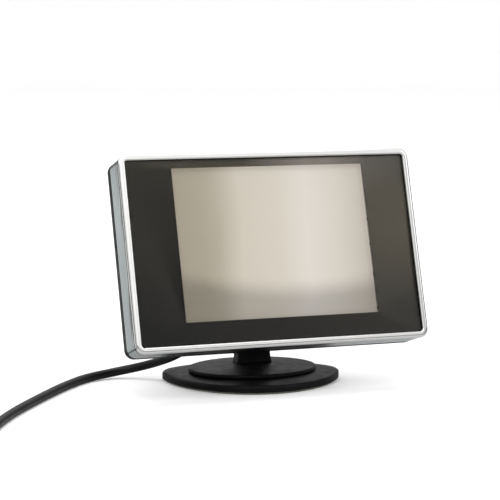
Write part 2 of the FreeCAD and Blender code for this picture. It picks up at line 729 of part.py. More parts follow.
tongue_width = 2 * S.tongue_half
bracket = Piece("tilt_bracket", HEAD)
bracket.box(-BRACKET_HALF, BRACKET_HALF, S.hump_back, bracket_back, RAIL_LOW, RAIL_HIGH)
bracket.fillet(along("Y"), 1.2)
bracket.box(-S.tongue_half, S.tongue_half, bracket_back - 0.2, S.hinge_back,
            -S.hinge_drop - S.knuckle_radius, -S.hinge_drop + S.knuckle_radius)
bracket.rod("X", -S.tongue_half, S.hinge_back, -S.hinge_drop, S.knuckle_radius, tongue_width)
bracket.bore("X", -S.tongue_half, S.hinge_back, -S.hinge_drop, S.bolt_radius + S.bolt_room,
             tongue_width)
bores(bracket, S.hump_back, bracket_back, 1.6, locks)

LOCK_TIP, LOCK_TALL, LOCK_HEAD = 16.4, 1.5, 2.6
lock_screw = Piece("lock_screw", HEAD)
lock_screw.rod("Y", 0, bracket_back, 0, LOCK_HEAD, LOCK_TALL)
lock_screw.fillet(on_plane("Y", (bracket_back + LOCK_TALL).value), 0.6)
lock_screw.rod("Y", 0, LOCK_TIP, 0, LOCK_CORE, bracket_back - LOCK_TIP)
cross_slot(lock_screw, bracket_back + LOCK_TALL, 0.7, 1.5)
copies("lock_screws", lock_screw, [(x, 0, z) for x, z in locks])

# ---------------------------------------------------------------- stand foot


def meet(c1, r1, c2, r2, side):
    """Where two circles cross, on the given side of the line from c1 to c2."""
    between = c2 - c1
    d = between.Length
    a = (r1 * r1 - r2 * r2 + d * d) / (2 * d)
    across = Vector(-between.y, between.x, 0) / d
    return c1 + between * (a / d) + across * (side * math.sqrt(r1 * r1 - a * a))


def foot_outline(sk, inset=0):
    """The foot's outline: a nose, two long sides, two back corners and a back edge, all tangent arcs."""
    nose_r, side_r, back_r, corner_r = (
        x - inset for x in (S.nose_radius, S.side_radius, S.back_radius, S.corner_radius)
    )
    nose = Vector(0, S.nose_radius.value - S.plate_front.value, 0)
    back = Vector(0, S.plate_back.value - S.back_radius.value, 0)
    rise = S.plate_widest.value - nose.y
    reach = side_r.value - nose_r.value
    side = {}
    corner = {}
    for s in (-1, 1):
        side[s] = Vector(-s * math.sqrt(reach**2 - rise**2), S.plate_widest.value, 0)
        corner[s] = meet(side[s], side_r.value - corner_r.value,
                         back, back_r.value - corner_r.value, s)
    arcs = [
        (nose, nose_r, side[-1], side[1]), (side[1], side_r, nose, corner[1]),
        (corner[1], corner_r, side[1], back), (back, back_r, corner[1], corner[-1]),
        (corner[-1], corner_r, back, side[-1]), (side[-1], side_r, corner[-1], nose),
    ]
    rules = []
    for i, (centre, radius, before, after) in enumerate(arcs):
        ends = []
        for other in (before, after):
            away = centre - other if centre in (nose, corner[1], corner[-1]) else other - centre
            ends.append(math.atan2(away.y, away.x))
        if ends[1] < ends[0]:
            ends[1] += 2 * math.pi
        sk.addGeometry(
            Part.ArcOfCircle(Part.Circle(centre, Vector(0, 0, 1), radius.value), *ends), False
        )
        rules.append(Sketcher.Constraint("Tangent", i, 2, (i + 1) % 6, 1))
    sk.addConstraint(rules)
    for i, (centre, radius, _, _) in enumerate(arcs):
        name_rule(sk, Sketcher.Constraint("Radius", i, radius.value), radius)
    place_point(sk, 0, 3, 0, S.nose_radius - S.plate_front)
    place_point(sk, 3, 3, 0, S.plate_back - S.back_radius)
    place_point(sk, 1, 3, None, S.plate_widest)
    place_point(sk, 5, 3, None, S.plate_widest)


foam = Piece("foam_pad", BASE)
sk = foam.sketch("XY", 0)
foot_outline(sk, S.pad_inset)
foam.pad(sk, S.pad_thick)

foot = Piece("base_plate", BASE)
HUB_RADIUS, HUB_TOP, SEAT_TOP = 5.4, 4.5, 2.0
SLOPE_START, SLOPE_END = 1.0, 7.6  # the slope of the top, inside the plate's edge
SWIVEL_REACH, TAB_HALF_ANGLE, STOP_ROOM = 45.0, 3.8, 1.0
TAB_INSIDE, TAB_OUTSIDE, TAB_HALF, GROOVE_ROOM = 14.0, 16.0, 1.0, 0.3
sk = foot.sketch("XY", S.pad_thick)
foot_outline(sk)
foot.pad(sk, S.plate_top - S.pad_thick)
foot.fillet(on_plane("Z", S.plate_top.value), S.plate_edge)
slope = [foot.sketch("XY", S.plate_top), foot.sketch("XY", S.plate_middle)]
foot_outline(slope[0], SLOPE_START)
foot_outline(slope[1], SLOPE_END)
foot.loft(slope)
foot.rod("Z", 0, 0, S.pad_thick, HUB_RADIUS, HUB_TOP - S.pad_thick)
foot.bore("Z", 0, 0, S.pad_thick, HUB_RADIUS, SEAT_TOP - S.pad_thick)
foot.bore("Z", 0, 0, SEAT_TOP, S.bolt_radius + S.bolt_room, HUB_TOP - SEAT_TOP)


def arc_slot(sk, inner, outer, middle, half):
    """A curved slot about the sketch's origin, from middle - half to middle + half degrees."""
    start, end = math.radians(middle - half), math.radians(middle + half)
    for radius in (inner, outer):
        round_line = Part.Circle(Vector(), Vector(0, 0, 1), radius)
        sk.addGeometry(Part.ArcOfCircle(round_line, start, end), False)
    for angle in (start, end):
        way = Vector(math.cos(angle), math.sin(angle), 0)
        sk.addGeometry(Part.LineSegment(way * inner, way * outer), False)
    for arc, radius in ((0, inner), (1, outer)):
        sk.addConstraint(Sketcher.Constraint("Coincident", arc, 3, -1, 1))
        name_rule(sk, Sketcher.Constraint("Radius", arc, radius), radius)
    for line, end in ((2, 1), (3, 2)):
        sk.addConstraint(Sketcher.Constraint("Coincident", line, 1, 0, end))
        sk.addConstraint(Sketcher.Constraint("Coincident", line, 2, 1, end))
        sk.addConstraint(Sketcher.Constraint("PointOnObject", -1, 1, line))
    name_rule(sk, Sketcher.Constraint("Angle", 2, 1, 3, 1, 2 * math.radians(half)), 2 * half)
    sk.addConstraint(Sketcher.Constraint("Symmetric", 0, 1, 0, 2, -2))


groove = foot.sketch("XY", SEAT_TOP)
arc_slot(groove, TAB_INSIDE - GROOVE_ROOM, TAB_OUTSIDE + GROOVE_ROOM, -90,
         SWIVEL_REACH + TAB_HALF_ANGLE + STOP_ROOM)
foot.pocket(groove, S.plate_middle - SEAT_TOP)

SWIVEL_HEAD, SWIVEL_HEAD_BOTTOM, SWIVEL_HEAD_TOP, SWIVEL_TIP = 4.2, 0.9, 1.65, 13.0
SHIM_BOTTOM, SHIM_OUTSIDE, SHIM_INSIDE = 1.7, 4.8, 2.1
shim = Piece("swivel_washer")
shim.rod("Z", 0, 0, SHIM_BOTTOM, SHIM_OUTSIDE, SEAT_TOP - SHIM_BOTTOM)
shim.bore("Z", 0, 0, SHIM_BOTTOM, SHIM_INSIDE, SEAT_TOP - SHIM_BOTTOM)

swivel_screw = Piece("swivel_screw")
swivel_screw.rod("Z", 0, 0, SWIVEL_HEAD_BOTTOM, SWIVEL_HEAD, SWIVEL_HEAD_TOP - SWIVEL_HEAD_BOTTOM)
swivel_screw.fillet(on_plane("Z", SWIVEL_HEAD_BOTTOM), 0.3)
swivel_screw.rod("Z", 0, 0, SWIVEL_HEAD_TOP, S.bolt_radius, SWIVEL_TIP - SWIVEL_HEAD_TOP)

# ---------------------------------------------------------------- turntable


def ellipse(sk, half_width, half_depth):
    """An ellipse about the sketch's origin, its longer half along the sketch's first axis."""
    half_width, half_depth = dim(half_width), dim(half_depth)
    sk.addGeometry(Part.Ellipse(Vector(), half_width.value, half_depth.value), False)
    sk.exposeInternalGeometry(0)
    sk.addConstraint(Sketcher.Constraint("Coincident", 0, 3, -1, 1))
    sk.addConstraint(Sketcher.Constraint("Horizontal", 1))
    for line, half in ((1, half_width), (2, half_depth)):
        name_rule(sk, Sketcher.Constraint("Distance", line, 2 * half.value), 2 * half)


DISC_EDGE_ROUND, TAB_BOTTOM, MERGE = 0.6, 2.3, 0.1
NECK_CORNER = 1.6
DOME_SECTIONS = (  # share of the turntable's width, share of the dome's rise
    (1.0, 0.0), (0.88, 0.24), (0.72, 0.51), (0.52, 0.75), (0.3, 0.92), (0.12, 0.99),
)
disc = Piece("turntable")
sk = disc.sketch("XY", S.disc_bottom)
ellipse(sk, S.disc_half_width, S.disc_half_depth)
disc.pad(sk, S.disc_edge - S.disc_bottom)
sections = []
for share, rise in DOME_SECTIONS:
    sections.append(disc.sketch("XY", S.disc_edge + (S.disc_top - S.disc_edge) * rise))
    ellipse(sections[-1], S.disc_half_width * share, S.disc_half_depth * share)
disc.loft(sections, ruled=False)
disc.fillet(rim_edge, DISC_EDGE_ROUND)
sk = disc.sketch("XY", S.neck_foot)
rounded_rectangle(sk, S.neck_foot_width, S.neck_foot_depth, NECK_CORNER, 0, 0)
disc.pocket(sk, S.disc_top - S.neck_foot)
disc.box(-TAB_HALF, TAB_HALF, -TAB_OUTSIDE, -TAB_INSIDE, TAB_BOTTOM, S.disc_bottom + MERGE)
disc.bore("Z", 0, 0, S.disc_bottom, S.bolt_radius + S.bolt_room, S.neck_foot - S.disc_bottom)

# ---------------------------------------------------------------- neck

NECK_SECTIONS = (  # height, width, depth, corner radius, centre behind the swivel axis
    (S.neck_foot, S.neck_foot_width, S.neck_foot_depth, NECK_CORNER, 0),
    (S.disc_top + 0.2, S.neck_foot_width, S.neck_foot_depth, NECK_CORNER, 0),
    (9.2, 12.3, 6.6, NECK_CORNER, 0.1),
    (27.6, 2 * S.neck_half, 8.4, 2.0, HINGE.y),
)
EAR_BOTTOM, EAR_DEPTH = 27.6, 8.4
SLOT_BELOW = 6.8
neck = Piece("neck_post")
sections = []
for height, width, depth, corner, back in NECK_SECTIONS:
    sections.append(neck.sketch("XY", height))
    rounded_rectangle(sections[-1], width, depth, corner, 0, back)
neck.loft(sections)
sk = neck.sketch("XY", EAR_BOTTOM)
rounded_rectangle(sk, 2 * S.neck_half, EAR_DEPTH, 2.0, 0, HINGE.y)
neck.pad(sk, HINGE.z - EAR_BOTTOM)
neck.rod("X", -S.neck_half, HINGE.y, HINGE.z, S.knuckle_radius, 2 * S.neck_half)
neck.cut_box(-S.ear_inside, S.ear_inside, HINGE.y - 7, HINGE.y + 7,
             HINGE.z - SLOT_BELOW, HINGE.z + 7)
neck.bore("X", -S.neck_half, HINGE.y, HINGE.z, S.bolt_radius, 2 * S.neck_half)
neck.bore("Z", 0, 0, S.neck_foot, S.bolt_radius, SWIVEL_TIP - S.neck_foot)

# ---------------------------------------------------------------- tilt clamp


def hexagon(across_flats, y, z):
    """Corners of a hexagon about y, z."""
    reach = across_flats / 2 / math.cos(math.pi / 6)
    turns = [math.radians(30 + 60 * i) for i in range(6)]
    return [(y + reach * math.cos(a), z + reach * math.sin(a)) for a in turns]


HEX, BOLT_HEAD_LEFT, BOLT_END = 7.0, -8.6, 12.0
bolt = Piece("hinge_bolt")
sk = bolt.sketch("YZ", BOLT_HEAD_LEFT)
polygon(sk, hexagon(HEX, HINGE.y, HINGE.z))
bolt.pad(sk, -S.neck_half - BOLT_HEAD_LEFT)
bolt.rod("X", -S.neck_half, HINGE.y, HINGE.z, S.bolt_radius, BOLT_END + S.neck_half)
bolt.chamfer(on_plane("X", BOLT_END), 0.4)

WASHER_LEFT, WASHER_THICK = 2.7, 0.4
WASHER_OUTSIDE, WASHER_INSIDE = 4.6, 2.1
washer = Piece("hinge_washer")
washer.rod("X", WASHER_LEFT, HINGE.y, HINGE.z, WASHER_OUTSIDE, WASHER_THICK)
washer.bore("X", WASHER_LEFT, HINGE.y, HINGE.z, WASHER_INSIDE, WASHER_THICK)
copies("hinge_washers", washer, [(0, 0, 0), (-2 * WASHER_LEFT - WASHER_THICK, 0, 0)])

KNOB_LEFT, KNOB_RIGHT, KNOB_RADIUS, LOBES = 6.2, 14.2, 7.0, 6
HOLLOW_RADIUS, HOLLOW_RING = 2.2, 8.2  # the grip's hollows between the lobes
INSERT_LONG = 3.5
knob = Piece("thumb_knob")
knob.rod("X", KNOB_LEFT, HINGE.y, HINGE.z, KNOB_RADIUS, KNOB_RIGHT - KNOB_LEFT)
sk = knob.sketch("YZ", KNOB_LEFT + 1.6)
for i in range(LOBES):
    angle = math.radians(360 * i / LOBES)
    circle(sk, HOLLOW_RADIUS, HINGE.y + HOLLOW_RING * math.cos(angle),
           HINGE.z + HOLLOW_RING * math.sin(angle))
knob.pocket(sk, KNOB_RIGHT - KNOB_LEFT - 1.6)
knob.fillet(on_plane("X", KNOB_RIGHT), 0.8)
sk = knob.sketch("YZ", KNOB_LEFT)
polygon(sk, hexagon(HEX, HINGE.y, HINGE.z))
knob.pocket(sk, INSERT_LONG)
knob.bore("X", KNOB_LEFT + INSERT_LONG, HINGE.y, HINGE.z, 2.2, 3.2)

insert = Piece("knob_insert")
sk = insert.sketch("YZ", KNOB_LEFT)
polygon(sk, hexagon(HEX, HINGE.y, HINGE.z))
circle(sk, S.bolt_radius + S.bolt_room, HINGE.y, HINGE.z)
insert.pad(sk, INSERT_LONG)

# ---------------------------------------------------------------- strain relief


def ribbed_taper(start, end, thick, thin, ribs):
    """Outline, as (radius, place), of a tapered sleeve from start to end with ribs and grooves."""
    groove_deep = 0.45
    steps = 2 * ribs - 1
    points = []
    for i in range(steps):
        radius = thick + (thin - thick) * i / (steps - 1) - (groove_deep if i % 2 else 0)
        points += [(radius, start + (end - start) * k / steps) for k in (i, i + 1)]
    return points


GROMMET_IN, FLANGE_BACK, TAPER_START, GROMMET_TIP = 17.2, 20.6, 21.6, 28.5
grommet = Piece("cable_grommet", HEAD * Placement(Vector(EXIT_X, 0, EXIT_Z), Rotation()))
sk = grommet.sketch("XY")
polygon(sk, [
    (0, GROMMET_IN), (GROMMET_NECK, GROMMET_IN), (GROMMET_NECK, S.hump_back), (3.7, S.hump_back),
    (3.7, FLANGE_BACK), (2.5, FLANGE_BACK), (2.5, TAPER_START),
    *ribbed_taper(TAPER_START, GROMMET_TIP, 3.0, 2.2, 4),
    (0, GROMMET_TIP),
])
grommet.revolve(sk, "V_Axis")

# ---------------------------------------------------------------- lead: tubes of runs and arcs

TANGENT_SHARE = 0.45


def rounded_route(points):
    """Straight runs joined by tangent arcs through a list of points, and the arcs' radii."""
    edges, radii = [], []
    here = points[0]
    for before, corner, after in zip(points, points[1:], points[2:]):
        way_in, way_out = corner - before, after - corner
        reach = TANGENT_SHARE * min(way_in.Length, way_out.Length)
        turn = way_in.getAngle(way_out)
        radius = reach / math.tan(turn / 2)
        way_in.normalize()
        way_out.normalize()
        start, end = corner - way_in * reach, corner + way_out * reach
        inward = way_out - way_in
        inward.normalize()
        middle = corner + inward * (radius / math.cos(turn / 2) - radius)
        edges.append(Part.makeLine(here, start))
        edges.append(Part.Arc(start, middle, end).toShape())
        radii.append(radius)
        here = end
    edges.append(Part.makeLine(here, points[-1]))
    return edges, radii


def tube(edges, radius):
    """A round solid along edges that meet tangentially, its volume compared with its length."""
    start, way = edges[0].Vertexes[0].Point, edges[0].tangentAt(edges[0].FirstParameter)
    ring = Part.Wire(Part.makeCircle(radius, start, way))
    solid = Part.Wire(edges).makePipeShell([ring], True, True)
    length = sum(e.Length for e in edges)
    expected = math.pi * radius**2 * length
    if abs(solid.Volume / expected - 1) > 0.01:
        raise RuntimeError("a tube's volume is not its section times its length")
    return solid, length


# four wires inside the raised middle of the rear cover, from the strain relief to the socket
WIRE_RADIUS, WIRE_PITCH, WIRE_BACK, WIRES = 0.34, 0.72, 15.2, 4
wires = []
for i in range(WIRES):
    x = EXIT_X + WIRE_PITCH * (i - (WIRES - 1) / 2)
    corners = [(x, GROMMET_IN, EXIT_Z), (x, WIRE_BACK, EXIT_Z + 1.6),
               (x, WIRE_BACK, LEAD_SOCKET_Z - 2.2), (x, BOARD_BACK + 1.8, LEAD_SOCKET_Z)]
    edges, _ = rounded_route([Vector(*p) for p in corners])
    wires.append(tube(edges, WIRE_RADIUS)[0])
group("inner_wires", wires, HEAD)

exit_point = HEAD.multVec(Vector(EXIT_X, GROMMET_TIP, EXIT_Z))
LEAD_FLOOR = S.lead_radius.value
COIL_LIFT = 0.3
COIL_BED = LEAD_FLOOR + COIL_LIFT
COIL_TURN = 22.8  # middle radius of the coil's outermost turn
ROUTE_DOWN = [  # from the strain relief down to the table behind the stand
    tuple(exit_point),
    (-24.8, 3.2, 11.7),
    (-26.8, 11.6, 8.1),
    (-33.4, 19.0, 4.6),
    (-44.0, 23.6, 2.1),
    (-55.8, 18.9, LEAD_FLOOR),
    (-67.5, 5.9, LEAD_FLOOR),
]
ROUTE_FLOOR = [  # across the table to the coil
    (-82.0, -13.9, LEAD_FLOOR),
    (-97.0, -35.9, LEAD_FLOOR),
    (-107.0, -55.4, LEAD_FLOOR),
    (-120.0, -69.4, LEAD_FLOOR + COIL_LIFT / 2),
    (S.coil_x.value, S.coil_y.value - COIL_TURN, COIL_BED),
]
all_edges, radii = rounded_route([Vector(*p) for p in ROUTE_DOWN + ROUTE_FLOOR])
JOIN_CORNER = 4  # the lead's two nodes meet in the run after this corner
cut_edge = all_edges[2 * JOIN_CORNER]
cut_point = cut_edge.valueAt((cut_edge.FirstParameter + cut_edge.LastParameter) / 2)
upper = all_edges[: 2 * JOIN_CORNER] + [Part.makeLine(cut_edge.Vertexes[0].Point, cut_point)]
lower = [Part.makeLine(cut_point, cut_edge.Vertexes[1].Point)] + all_edges[2 * JOIN_CORNER + 1 :]
for label, edges in (("cable_upper", upper), ("cable_floor", lower)):
    solid, length = tube(edges, S.lead_radius.value)
    print(f"{label}: {length:.1f} long")
    group(label, [solid])
print("lead corners' radii", " ".join(f"{r:.1f}" for r in radii), "joined at", cut_point)

# ---------------------------------------------------------------- coil of spare lead, and its tie

COIL_SECTION = [  # radius, height above the coil's bed
    (11.3, 0.0), (23.8, 0.0), (24.4, 1.5), (23.1, 5.0), (21.8, 6.2), (13.6, 6.2),
    (12.2, 5.0), (10.7, 1.5),
]
COIL_HIGH = 6.2
coil_at = Placement(Vector(S.coil_x.value, S.coil_y.value, 0), Rotation())
coil = Piece("cable_coil", coil_at)
sk = coil.sketch("XZ")
polygon(sk, [(r, high + COIL_LIFT) for r, high in COIL_SECTION])
coil.revolve(sk, "V_Axis")

TIE_HALF, TIE_THICK = 2.2, 0.45
tie = Piece("coil_tie", coil_at)
sk = tie.sketch("XZ", -TIE_HALF)
tie_bottom, tie_top = 0.0, COIL_HIGH + COIL_LIFT + TIE_THICK
polygon(sk, [
    (11.0, tie_bottom), (24.0, tie_bottom), (25.0, 1.8), (23.6, 5.5), (22.2, tie_top),
    (13.2, tie_top), (11.7, 5.5), (10.1, 1.8),
])
tie.pad(sk, 2 * TIE_HALF)
sk = tie.sketch("XZ", -TIE_HALF)
polygon(sk, [(r, high + COIL_LIFT) for r, high in COIL_SECTION])
tie.pocket(sk, 2 * TIE_HALF)

# ---------------------------------------------------------------- tail of the lead and its plug

PLUG_AXIS = 5.0
PLUG_START = Vector(-142.0, -15.4, PLUG_AXIS)
TAIL_ROUTE = [
    Vector(S.coil_x.value - 21.8, S.coil_y.value, 4.8),
    Vector(-162.0, -38.9, 3.4),
    Vector(-160.0, -27.7, 2.0),
    Vector(-152.2, -19.3, 3.2),
    PLUG_START,
]
edges, radii = rounded_route(TAIL_ROUTE)
solid, length = tube(edges, S.lead_radius.value)
print(f"cable_tail: {length:.1f} long, radii", " ".join(f"{r:.1f}" for r in radii))
group("cable_tail", [solid])
PLUG_HEADING = 22.8  # degrees from +X towards +Y
plug_at = Placement(PLUG_START, Rotation(Vector(0, 0, 1), PLUG_HEADING))

BOOT_END, GRIP_END, SHELL_END = 11.0, 28.0, 35.5
SHELL_START, SHELL_OUTSIDE, SHELL_SEAT, SHELL_INSIDE = 24.0, 4.6, 4.4, 4.2
boot = Piece("plug_boot", plug_at)
sk = boot.sketch("XY")
taper = [(x, r) for r, x in ribbed_taper(0.0, BOOT_END, 2.3, 3.6, 5)]
polygon(sk, [(0, 0), *taper, (BOOT_END, 0)])
boot.revolve(sk, "H_Axis")

grip = Piece("plug_grip", plug_at)
sk = grip.sketch("XY")
polygon(sk, [
    (BOOT_END, 0), (BOOT_END, 4.2), (12.2, PLUG_AXIS), (26.8, PLUG_AXIS), (GRIP_END, 4.8),
    (GRIP_END, SHELL_SEAT), (SHELL_START, SHELL_SEAT), (SHELL_START, 0),
])
grip.revolve(sk, "H_Axis")
for i in range(5):
    x = 14.0 + 1.8 * i
    for side in (-1, 1):
        across = sorted((4.6 * side, 5.2 * side))
        grip.cut_box(x, x + 0.8, *across, -5.2, 5.2)

shell = Piece("plug_shell", plug_at)
shell.rod("X", SHELL_START, 0, 0, SHELL_SEAT, GRIP_END - SHELL_START)
shell.rod("X", GRIP_END, 0, 0, SHELL_OUTSIDE, SHELL_END - GRIP_END)
shell.chamfer(on_plane("X", SHELL_END), 0.15)
shell.bore("X", SHELL_START, 0, 0, SHELL_INSIDE, SHELL_END - SHELL_START)

PINS, PIN_RING, PIN_RADIUS, PIN_START, PIN_END = 4, 2.2, 0.5, 25.0, 34.5
INSERT_START, INSERT_END = 24.0, 27.5
pin_places = [math.radians(45 + 360 * i / PINS) for i in range(PINS)]
plug_insert = Piece("plug_insert", plug_at)
plug_insert.rod("X", INSERT_START, 0, 0, SHELL_INSIDE, INSERT_END - INSERT_START)
sk = plug_insert.sketch("YZ", PIN_START)
for a in pin_places:
    circle(sk, PIN_RADIUS, PIN_RING * math.cos(a), PIN_RING * math.sin(a))
plug_insert.pocket(sk, INSERT_END - PIN_START)
plug_insert.box(27.0, 33.0, -0.7, 0.7, -4.1, -3.2)

pin = Piece("plug_pin", plug_at)
pin.rod("X", PIN_START, 0, 0, PIN_RADIUS, PIN_END - PIN_START)
pin.fillet(on_plane("X", PIN_END), 0.2)
copies("plug_pins", pin,
       [(0, PIN_RING * math.cos(a), PIN_RING * math.sin(a)) for a in pin_places])

# ---------------------------------------------------------------- place, check and write

nodes = [(piece.body, piece.at) for piece in made] + groups
for node, at in nodes:
    node.Placement = at
doc.recompute()
for obj in doc.Objects:
    if "Invalid" in obj.State or "Error" in obj.State:
        raise RuntimeError(f"{obj.Label} failed: {obj.State}")
os.makedirs("parts", exist_ok=True)
for node, _ in nodes:
    if node.Shape.isNull() or not node.Shape.isValid() or not node.Shape.Solids:
        raise RuntimeError(f"{node.Label} is not a valid solid")
for node, _ in nodes:
    node.Shape.exportStep(f"parts/{node.Label}.step")
print(len(nodes), "nodes written")
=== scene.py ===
"""Looks of the dash monitor: materials, lead, foam pad, twist tie, floor, light and camera."""
import json
import math

import bmesh
import bpy
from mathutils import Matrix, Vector, noise


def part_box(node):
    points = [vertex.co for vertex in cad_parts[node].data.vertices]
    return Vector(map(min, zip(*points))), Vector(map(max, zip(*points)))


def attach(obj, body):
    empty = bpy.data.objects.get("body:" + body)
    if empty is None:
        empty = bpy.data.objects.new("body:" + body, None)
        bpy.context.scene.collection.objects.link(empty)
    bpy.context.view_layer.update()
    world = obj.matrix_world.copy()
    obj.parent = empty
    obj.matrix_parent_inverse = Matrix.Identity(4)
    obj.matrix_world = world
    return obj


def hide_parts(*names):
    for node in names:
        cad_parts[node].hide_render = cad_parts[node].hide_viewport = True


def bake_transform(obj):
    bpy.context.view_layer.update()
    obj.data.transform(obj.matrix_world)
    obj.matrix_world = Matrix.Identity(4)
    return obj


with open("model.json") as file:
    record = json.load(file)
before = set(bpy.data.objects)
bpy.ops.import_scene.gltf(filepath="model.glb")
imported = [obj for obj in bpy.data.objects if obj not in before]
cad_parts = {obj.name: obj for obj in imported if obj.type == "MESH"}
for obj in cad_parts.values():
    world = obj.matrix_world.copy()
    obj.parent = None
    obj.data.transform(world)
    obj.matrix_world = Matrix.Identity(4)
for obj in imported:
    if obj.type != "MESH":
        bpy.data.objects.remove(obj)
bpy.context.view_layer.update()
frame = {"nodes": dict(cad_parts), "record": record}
nodes = frame["nodes"]
MM = 0.001

# ---------------------------------------------------------------- camera, floor and light

CAMERA_AT = (-0.2342, -0.6111, 0.1210)
CAMERA_PITCH, CAMERA_HEADING = 6.47, 20.9  # degrees down, degrees from +Y towards +X
CAMERA_LENS, SENSOR = 134.9, 36.0

FLOOR_RADIUS, SWEEP_RADIUS = 4.0, 0.25
FLOOR_SIDES, SWEEP_STEPS = 96, 8
LAMPS = (  # name, place, size, power, colour
    ("key", (-0.55, -0.95, 1.25), 0.9, 7.0, (1.0, 0.985, 0.96)),
    ("fill", (1.1, -0.75, 0.8), 0.9, 3.0, (0.97, 0.985, 1.0)),
    ("top", (0.1, 0.35, 1.4), 1.1, 5.5, (1.0, 1.0, 1.0)),
)
ROOM_LIGHT = 0.88
FLOOR_GLOW = 0.17  # the paper's own light, seen by the camera only


def add_camera():
    """The camera of the studio picture: low, a little left of the screen's middle."""
    data = bpy.data.cameras.new("studio_camera")
    data.lens, data.sensor_width = CAMERA_LENS, SENSOR
    data.clip_start, data.clip_end = 0.01, 50.0
    camera = bpy.data.objects.new("studio_camera", data)
    camera.location = CAMERA_AT
    camera.rotation_euler = (math.radians(90 - CAMERA_PITCH), 0, math.radians(-CAMERA_HEADING))
    bpy.context.collection.objects.link(camera)
    bpy.context.scene.camera = camera


def add_lamps():
    """Large soft lamps that all face the monitor."""
    for name, place, size, power, colour in LAMPS:
        data = bpy.data.lights.new(name, "AREA")
        data.shape, data.size = "DISK", size
        data.energy, data.color = power, colour
        lamp = bpy.data.objects.new(name, data)
        lamp.location = place
        lamp.rotation_euler = (-Vector(place)).to_track_quat("-Z", "Y").to_euler()
        bpy.context.collection.objects.link(lamp)


def add_world():
    """A white room; shiny parts see it as a studio, bright above and dimmer to the right."""
    world = bpy.data.worlds.new("white_room")
    world.use_nodes = True
    bpy.context.scene.world = world
    tree = world.node_tree

    def node(kind, *sources, **settings):
        made = tree.nodes.new("ShaderNode" + kind)
        for key, value in settings.items():
            setattr(made, key, value)
        for socket, source in zip(made.inputs, sources):
            if hasattr(source, "is_output"):
                tree.links.new(source, socket)
            else:
                socket.default_value = source
        return made.outputs

    way = node("TexCoord")["Generated"]
    x, y, z = node("SeparateXYZ", way)[:3]
    above = node("MapRange", z, 0.05, 0.46, 0.03, 1.06, interpolation_type="SMOOTHSTEP")[0]
    behind = node("MapRange", y, -0.1, 0.7, 0.0, 0.08, interpolation_type="SMOOTHSTEP")[0]
    right = node("MapRange", x, 0.1, 0.8, 1.0, 0.55, interpolation_type="SMOOTHSTEP")[0]
    studio = node("Math", above, right, behind, operation="MULTIPLY_ADD")[0]
    rays = node("LightPath")
    plain = node("MapRange", rays["Is Camera Ray"], 0.0, 1.0, ROOM_LIGHT, 1.0)[0]
    extra = node("Math", studio, plain, operation="SUBTRACT")[0]
    level = node("Math", rays["Is Glossy Ray"], extra, plain, operation="MULTIPLY_ADD")[0]
    tree.links.new(level, tree.nodes["Background"].inputs["Strength"])
    tree.nodes["Background"].inputs["Color"].default_value = (1, 1, 1, 1)


def add_floor():
    """A round pale floor whose edge sweeps up a little, out of sight."""
    profile = [(0.0, 0.0), (0.4, 0.0), (1.0, 0.0), (FLOOR_RADIUS - SWEEP_RADIUS, 0.0)]
    for i in range(1, SWEEP_STEPS + 1):
        angle = math.pi / 2 * i / SWEEP_STEPS
        profile.append((
            FLOOR_RADIUS - SWEEP_RADIUS + SWEEP_RADIUS * math.sin(angle),
            SWEEP_RADIUS * (1 - math.cos(angle)),
        ))
    floor = turned("studio_floor", profile, FLOOR_SIDES)
    floor.data.materials.append(floor_paint())


# ---------------------------------------------------------------- mesh helpers


def smooth_object(name, bm):
    """An object made from a bmesh, smoothly shaded; the bmesh is used up."""
    mesh = bpy.data.meshes.new(name)
    bm.to_mesh(mesh)
    bm.free()
    mesh.shade_smooth()
    obj = bpy.data.objects.new(name, mesh)
    bpy.context.collection.objects.link(obj)
    return obj


def circle(sides):
    """The cosines and sines of equal steps round a circle."""
    turns = [2 * math.pi * i / sides for i in range(sides)]
    return [(math.cos(a), math.sin(a)) for a in turns]


def skin(name, rings, looped=False):
    """A mesh whose faces join each ring of points to the next, capped at both ends or looped."""
    bm = bmesh.new()
    rows = [[bm.verts.new(p) for p in ring] for ring in rings]
    count = len(rings[0])
    for low, high in zip(rows, rows[1:] + rows[:1] if looped else rows[1:]):
        for i in range(count):
            j = (i + 1) % count
            bm.faces.new((low[i], low[j], high[j], high[i]))
    if not looped:
        bm.faces.new(reversed(rows[0]))
        bm.faces.new(rows[-1])
    return smooth_object(name, bm)


def turned(name, profile, sides):
    """A surface turned about Z from (radius, height) points, the first of them in its middle."""
    bm = bmesh.new()
    middle = bm.verts.new((0, 0, profile[0][1]))
    rows = []
    for radius, height in profile[1:]:
        rows.append([bm.verts.new((radius * c, radius * s, height)) for c, s in circle(sides)])
    for i in range(sides):
        bm.faces.new((middle, rows[0][i], rows[0][(i + 1) % sides]))
    for low, high in zip(rows, rows[1:]):
        for i in range(sides):
            j = (i + 1) % sides
            bm.faces.new((low[i], high[i], high[j], low[j]))
    return smooth_object(name, bm)


TUBE_SIDES = 14
LINE_STEPS = 10  # points on each stretch of the lead's line, between its control points


def frames_along(points):
    """A sideways and an upward direction at each point, carried along without twisting."""
    ways = [(b - a).normalized() for a, b in zip(points, points[1:])]
    ways = [ways[0]] + [(a + b).normalized() for a, b in zip(ways, ways[1:])] + [ways[-1]]
    side = ways[0].cross(Vector((0, 0, 1))).normalized()
    frames = []
    for way in ways:
        side = (side - way * side.dot(way)).normalized()
        frames.append((side, side.cross(way)))
    return frames


def tube(name, rings, middles):
    """A round tube through the rings; its normals match where it meets the next length."""
    obj = skin(name, rings)
    obj.data.normals_split_custom_set_from_vertices(
        [(point - middle).normalized() for ring, middle in zip(rings, middles) for point in ring]
    )
    return obj


def tube_rings(points, radius):
    """The rings of a round tube whose middles are the points."""
    return [
        [centre + (side * c - up * s) * radius for c, s in circle(TUBE_SIDES)]
        for centre, (side, up) in zip(points, frames_along(points))
    ]


